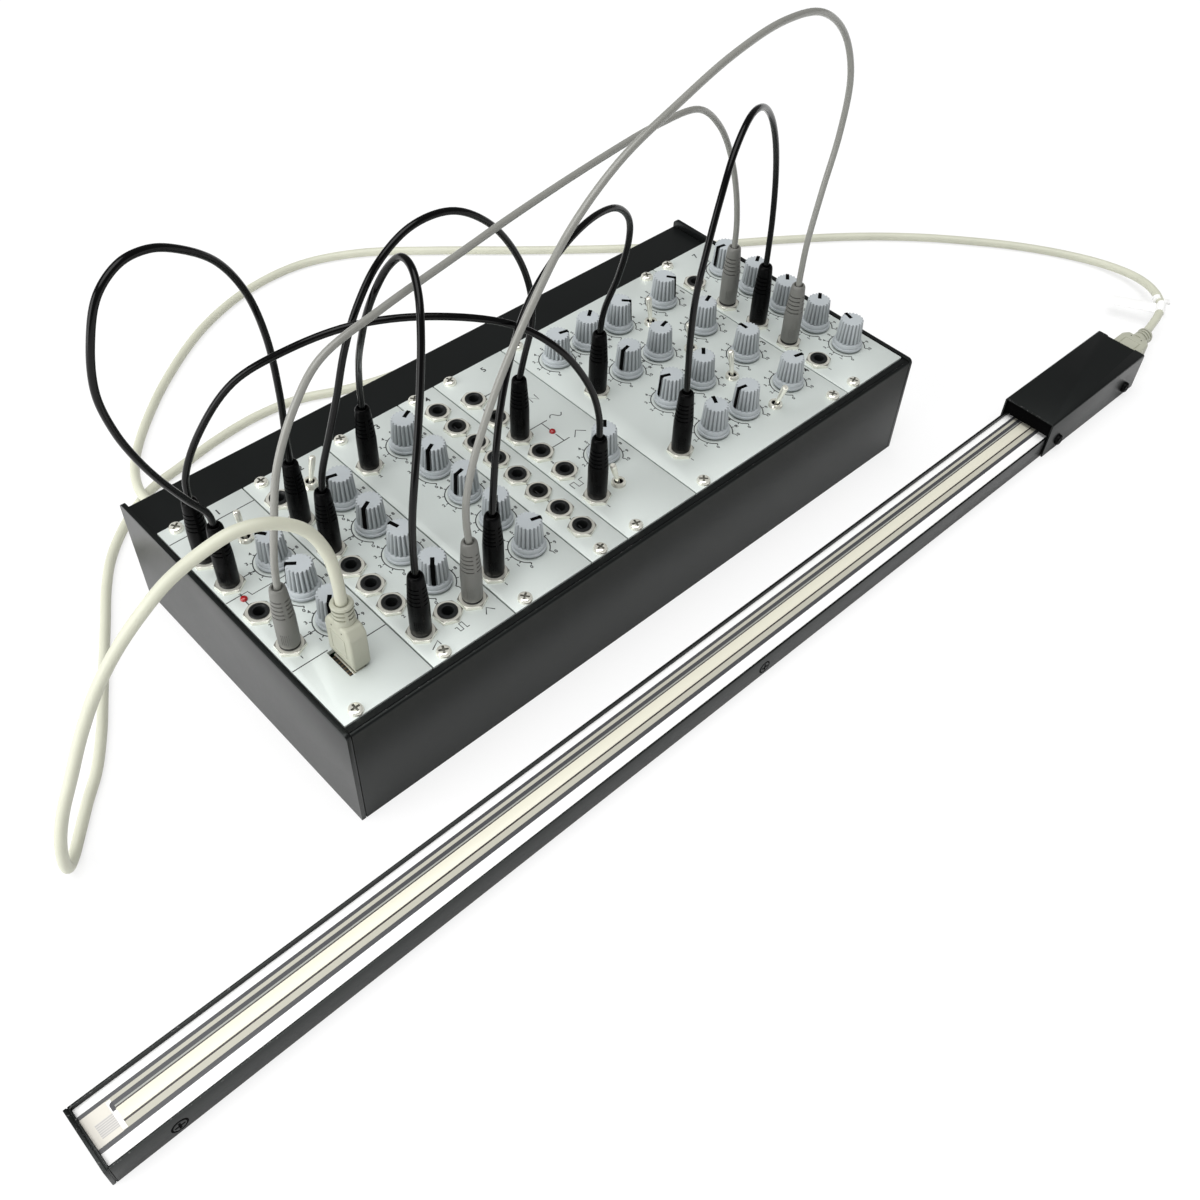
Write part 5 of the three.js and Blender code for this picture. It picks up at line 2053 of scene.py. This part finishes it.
    def collar(self, top):
        """The ringed collar round the cable."""
        end = top + COLLAR_LENGTH
        profile = [(COLLAR_RADIUS + GAP, top - HOOD_ROUND), (COLLAR_RADIUS + GAP, top + GAP)]
        for slot in range(COLLAR_SLOTS, 0, -1):
            start = end - COLLAR_PITCH * slot - GAP
            profile += notch(COLLAR_RADIUS, COLLAR_NECK, start, 0.42 * COLLAR_PITCH)
        mouth = sizes().cable_diameter / 2 + GAP
        profile += [
            (COLLAR_RADIUS + GAP, end - COLLAR_PITCH / 2),
            *rings(COLLAR_RADIUS, end, GAP, (0, -1), (-2, 0)),
            *rings(mouth, end, GAP, (1, 0), (0, -1), (0, -3)),
        ]
        return coat(turned("collar", profile), hood_ivory)


class SYNTH_OT_ribbon(bpy.types.Operator):
    """Build the ribbon controller: channel, sensor and cover"""

    bl_idname = "synth.ribbon"
    bl_label = "Ribbon controller"

    def execute(self, context):
        self.low, self.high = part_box("ribbon_channel")
        self.middle = (self.low.y + self.high.y) / 2
        self.channel()
        self.sensor()
        self.cover()
        return {"FINISHED"}

    def channel(self):
        """A folded channel with a separate plate at its near end and two flush screws."""
        near, far = self.low.x, self.high.x
        front, back = self.low.y, self.high.y
        start = near + END_PLATE + END_SLIT
        outline = [
            (front, 0), (back, 0), (back, CHANNEL_HEIGHT), (back - CHANNEL_WALL, CHANNEL_HEIGHT),
            (back - CHANNEL_WALL, CHANNEL_FLOOR), (front + CHANNEL_WALL, CHANNEL_FLOOR),
            (front + CHANNEL_WALL, CHANNEL_HEIGHT), (front, CHANNEL_HEIGHT),
        ]
        pieces = [
            folded("trough", outline, start, far),
            block("plate", (near, front, 0), (near + END_PLATE, back, CHANNEL_HEIGHT)),
            block(
                "fill", (near + END_SLIT, front + END_SLIT, END_SLIT),
                (start + END_SLIT, back - END_SLIT, CHANNEL_HEIGHT - END_SLIT),
            ),
            block("wall", (start, front, 0), (start + END_WALL, back, CHANNEL_HEIGHT)),
        ]
        for piece in pieces:
            rounded(piece, sizes().edge)
        end = block("end", (far - SOCKET_DEPTH, front, 0), (far, back, CHANNEL_HEIGHT))
        pieces.append(cut(end, self.socket_slot(far - SOCKET_DEPTH, far)))
        channel = joined("ribbon_channel_sheet", pieces)
        seat(coat(channel, worn_steel), stands_for=["ribbon_channel"])
        self.flush_screws(front)

    def socket_slot(self, start, end):
        """A cutter for the flat opening of the far connector."""
        half_width = SHELL_WIDTH / 2 + GAP
        half_height = SHELL_THICKNESS / 2 + GAP
        return block(
            "slot", (start - SHEET, self.middle - half_width, SOCKET_CENTRE - half_height),
            (end + SHEET, self.middle + half_width, SOCKET_CENTRE + half_height),
        )

    def flush_screws(self, front):
        """Countersunk screws in the front wall, each in a dark ring of painted shade for the gap
        round its head.
        """
        profile = [(FLUSH_RING, -GAP), (FLUSH_RING, FILM_RISE)]
        ring = coat(turned("ring", profile, 28), dull_black)
        head = cross_screw("head", FLUSH_RADIUS, FLUSH_HEIGHT, coated_steel)
        screw = joined("screw", [ring, head])
        heads = [
            copied(screw, placed((x, front, CHANNEL_SCREW_HEIGHT), QUARTER, "X"))
            for x in CHANNEL_SCREWS
        ]
        seat(joined("ribbon_channel_screws", heads))
        drop(screw)

    def sensor(self):
        """The layered bar, its end block and the strip that is played."""
        low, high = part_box("ribbon_sensor")
        top = CHANNEL_HEIGHT - SENSOR_DROP
        start = self.low.x + END_PLATE + END_SLIT + END_WALL
        front = self.low.y + CHANNEL_WALL
        back = self.high.y - CHANNEL_WALL
        bar = block("ribbon_sensor_bar", (start, front, low.z), (high.x, back, top))
        seat(coat(bar, sensor_film), stands_for=["ribbon_sensor"])
        bands = [self.middle + end * MM for end, _ in SENSOR_BANDS]
        first, last = bands[ACTIVE_BAND - 1], bands[ACTIVE_BAND]
        tail_end = start + TAIL_LENGTH
        begin = tail_end + TAIL_GAP
        strip = block(
            "ribbon_active_strip", (begin, first, top - GAP),
            (self.high.x - COVER_LENGTH - GAP, last, top + ACTIVE_RISE),
        )
        rounded(strip, GAP / 4)
        seat(coat(strip, cream_film))
        lift = top + FILM_RISE
        tail = block("ribbon_film_tail", (start, bands[1], top - GAP), (tail_end, bands[8], lift))
        seat(coat(tail, film_tail))
        clear = block(
            "ribbon_film_clear", (tail_end, bands[1] + GAP, top - GAP),
            (begin, bands[8] - GAP, top + FILM_RISE / 2),
        )
        seat(coat(clear, white_strip))
        track = block(
            "ribbon_track", (tail_end + TRACK_INSET, last - TRACK_INSET, top - GAP),
            (begin + TRACK_LAP, bands[7], lift),
        )
        edit(track, "EDGE")
        corner = tail_end + TRACK_INSET + GAP
        choose(track, "edges", lambda edge: all(
            vert.co.x < corner and vert.co.y > bands[7] - MM for vert in edge.verts
        ) and abs((edge.verts[0].co - edge.verts[1].co).z) > FILM_RISE)
        bpy.ops.mesh.bevel(offset=TRACK_CORNER, segments=5, affect="EDGES")
        put_down()
        seat(coat(track, slate_track))

    def cover(self):
        """A folded cap with an inset near flap and two screws at the front."""
        low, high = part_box("ribbon_cover")
        half = COVER_WIDTH / 2
        inner = half - COVER_WALL
        roof = COVER_HEIGHT - COVER_WALL
        start, end = low.x, high.x
        centre = self.middle
        shoulder = half - COVER_ROUND
        rise = COVER_HEIGHT - COVER_ROUND
        section = [
            (-half, GAP), (-inner, GAP), (-inner, roof), (inner, roof), (inner, GAP),
            (half, GAP),
            *arc(shoulder, rise, COVER_ROUND, 0, QUARTER),
            *arc(-shoulder, rise, COVER_ROUND, QUARTER, math.pi),
        ]
        outline = [(centre + y, z) for y, z in section]
        cap = rounded(folded("cap", outline, start, end), sizes().edge, angle=60)
        side = half - COVER_WALL / 2
        flaps = []
        # Both flaps are coated black as painted shade under the roof of the cap.
        for x in (start + COVER_INSET, end - COVER_WALL):
            flap = block(
                "flap", (x, centre - side, CHANNEL_HEIGHT + GAP),
                (x + COVER_WALL, centre + side, roof + COVER_WALL / 2),
            )
            flaps.append(coat(rounded(flap, sizes().edge), dull_black))
        cut(flaps[1], self.socket_slot(end - COVER_WALL, end))
        notch_half = HOOD_WIDTH / 2 + GAP
        cut(cap, block(
            "notch", (end - 2.5 * GAP, centre - notch_half, roof - SHEET),
            (end + SHEET, centre + notch_half, COVER_HEIGHT + SHEET),
        ))
        cover = joined("ribbon_cover_sheet", [coat(cap, cover_steel), *flaps])
        seat(cover, stands_for=["ribbon_cover"], smooth=28)
        screw = cross_screw("screw", COVER_SCREW_RADIUS, COVER_SCREW_HEIGHT, black_plastic)
        heads = []
        for share in COVER_SCREW_SHARES:
            place = (start + COVER_LENGTH * share, centre - half, COVER_HEIGHT - COVER_SCREW_DROP)
            heads.append(copied(screw, placed(place, QUARTER, "X")))
        seat(joined("ribbon_cover_screws", heads))
        drop(screw)


class SYNTH_PT_panel(bpy.types.Panel):
    """Sidebar panel with the settings and the steps"""

    bl_idname = "SYNTH_PT_panel"
    bl_label = "Synthesizer"
    bl_space_type = "VIEW_3D"
    bl_region_type = "UI"
    bl_category = "Synthesizer"

    def draw(self, context):
        for group in (context.scene.synth_sizes, context.scene.synth_colours):
            box = self.layout.box()
            for name in group.__annotations__:
                box.prop(group, name)
        for step in STEPS:
            self.layout.operator(step.bl_idname)


STEPS = (
    SYNTH_OT_stage, SYNTH_OT_leads, SYNTH_OT_control_cable, SYNTH_OT_case, SYNTH_OT_panels,
    SYNTH_OT_jacks, SYNTH_OT_screws, SYNTH_OT_knobs, SYNTH_OT_toggles, SYNTH_OT_lamps,
    SYNTH_OT_print, SYNTH_OT_ribbon,
)
CLASSES = (SynthSizes, SynthColours, *STEPS, SYNTH_PT_panel)


def register():
    """Register the classes and the settings."""
    for item in CLASSES:
        bpy.utils.register_class(item)
    bpy.types.Scene.synth_sizes = bpy.props.PointerProperty(type=SynthSizes)
    bpy.types.Scene.synth_colours = bpy.props.PointerProperty(type=SynthColours)


def unregister():
    """Remove the settings and the classes."""
    del bpy.types.Scene.synth_sizes
    del bpy.types.Scene.synth_colours
    for item in reversed(CLASSES):
        bpy.utils.unregister_class(item)


def main():
    """Build every piece."""
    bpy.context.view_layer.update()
    register()
    bpy.ops.synth.stage()
    bpy.ops.synth.leads()
    bpy.ops.synth.control_cable()
    bpy.ops.synth.case()
    bpy.ops.synth.panels()
    bpy.ops.synth.jacks()
    bpy.ops.synth.screws()
    bpy.ops.synth.knobs()
    bpy.ops.synth.toggles()
    bpy.ops.synth.lamps()
    bpy.ops.synth.print()
    bpy.ops.synth.ribbon()


if __name__ == "__main__":
    main()
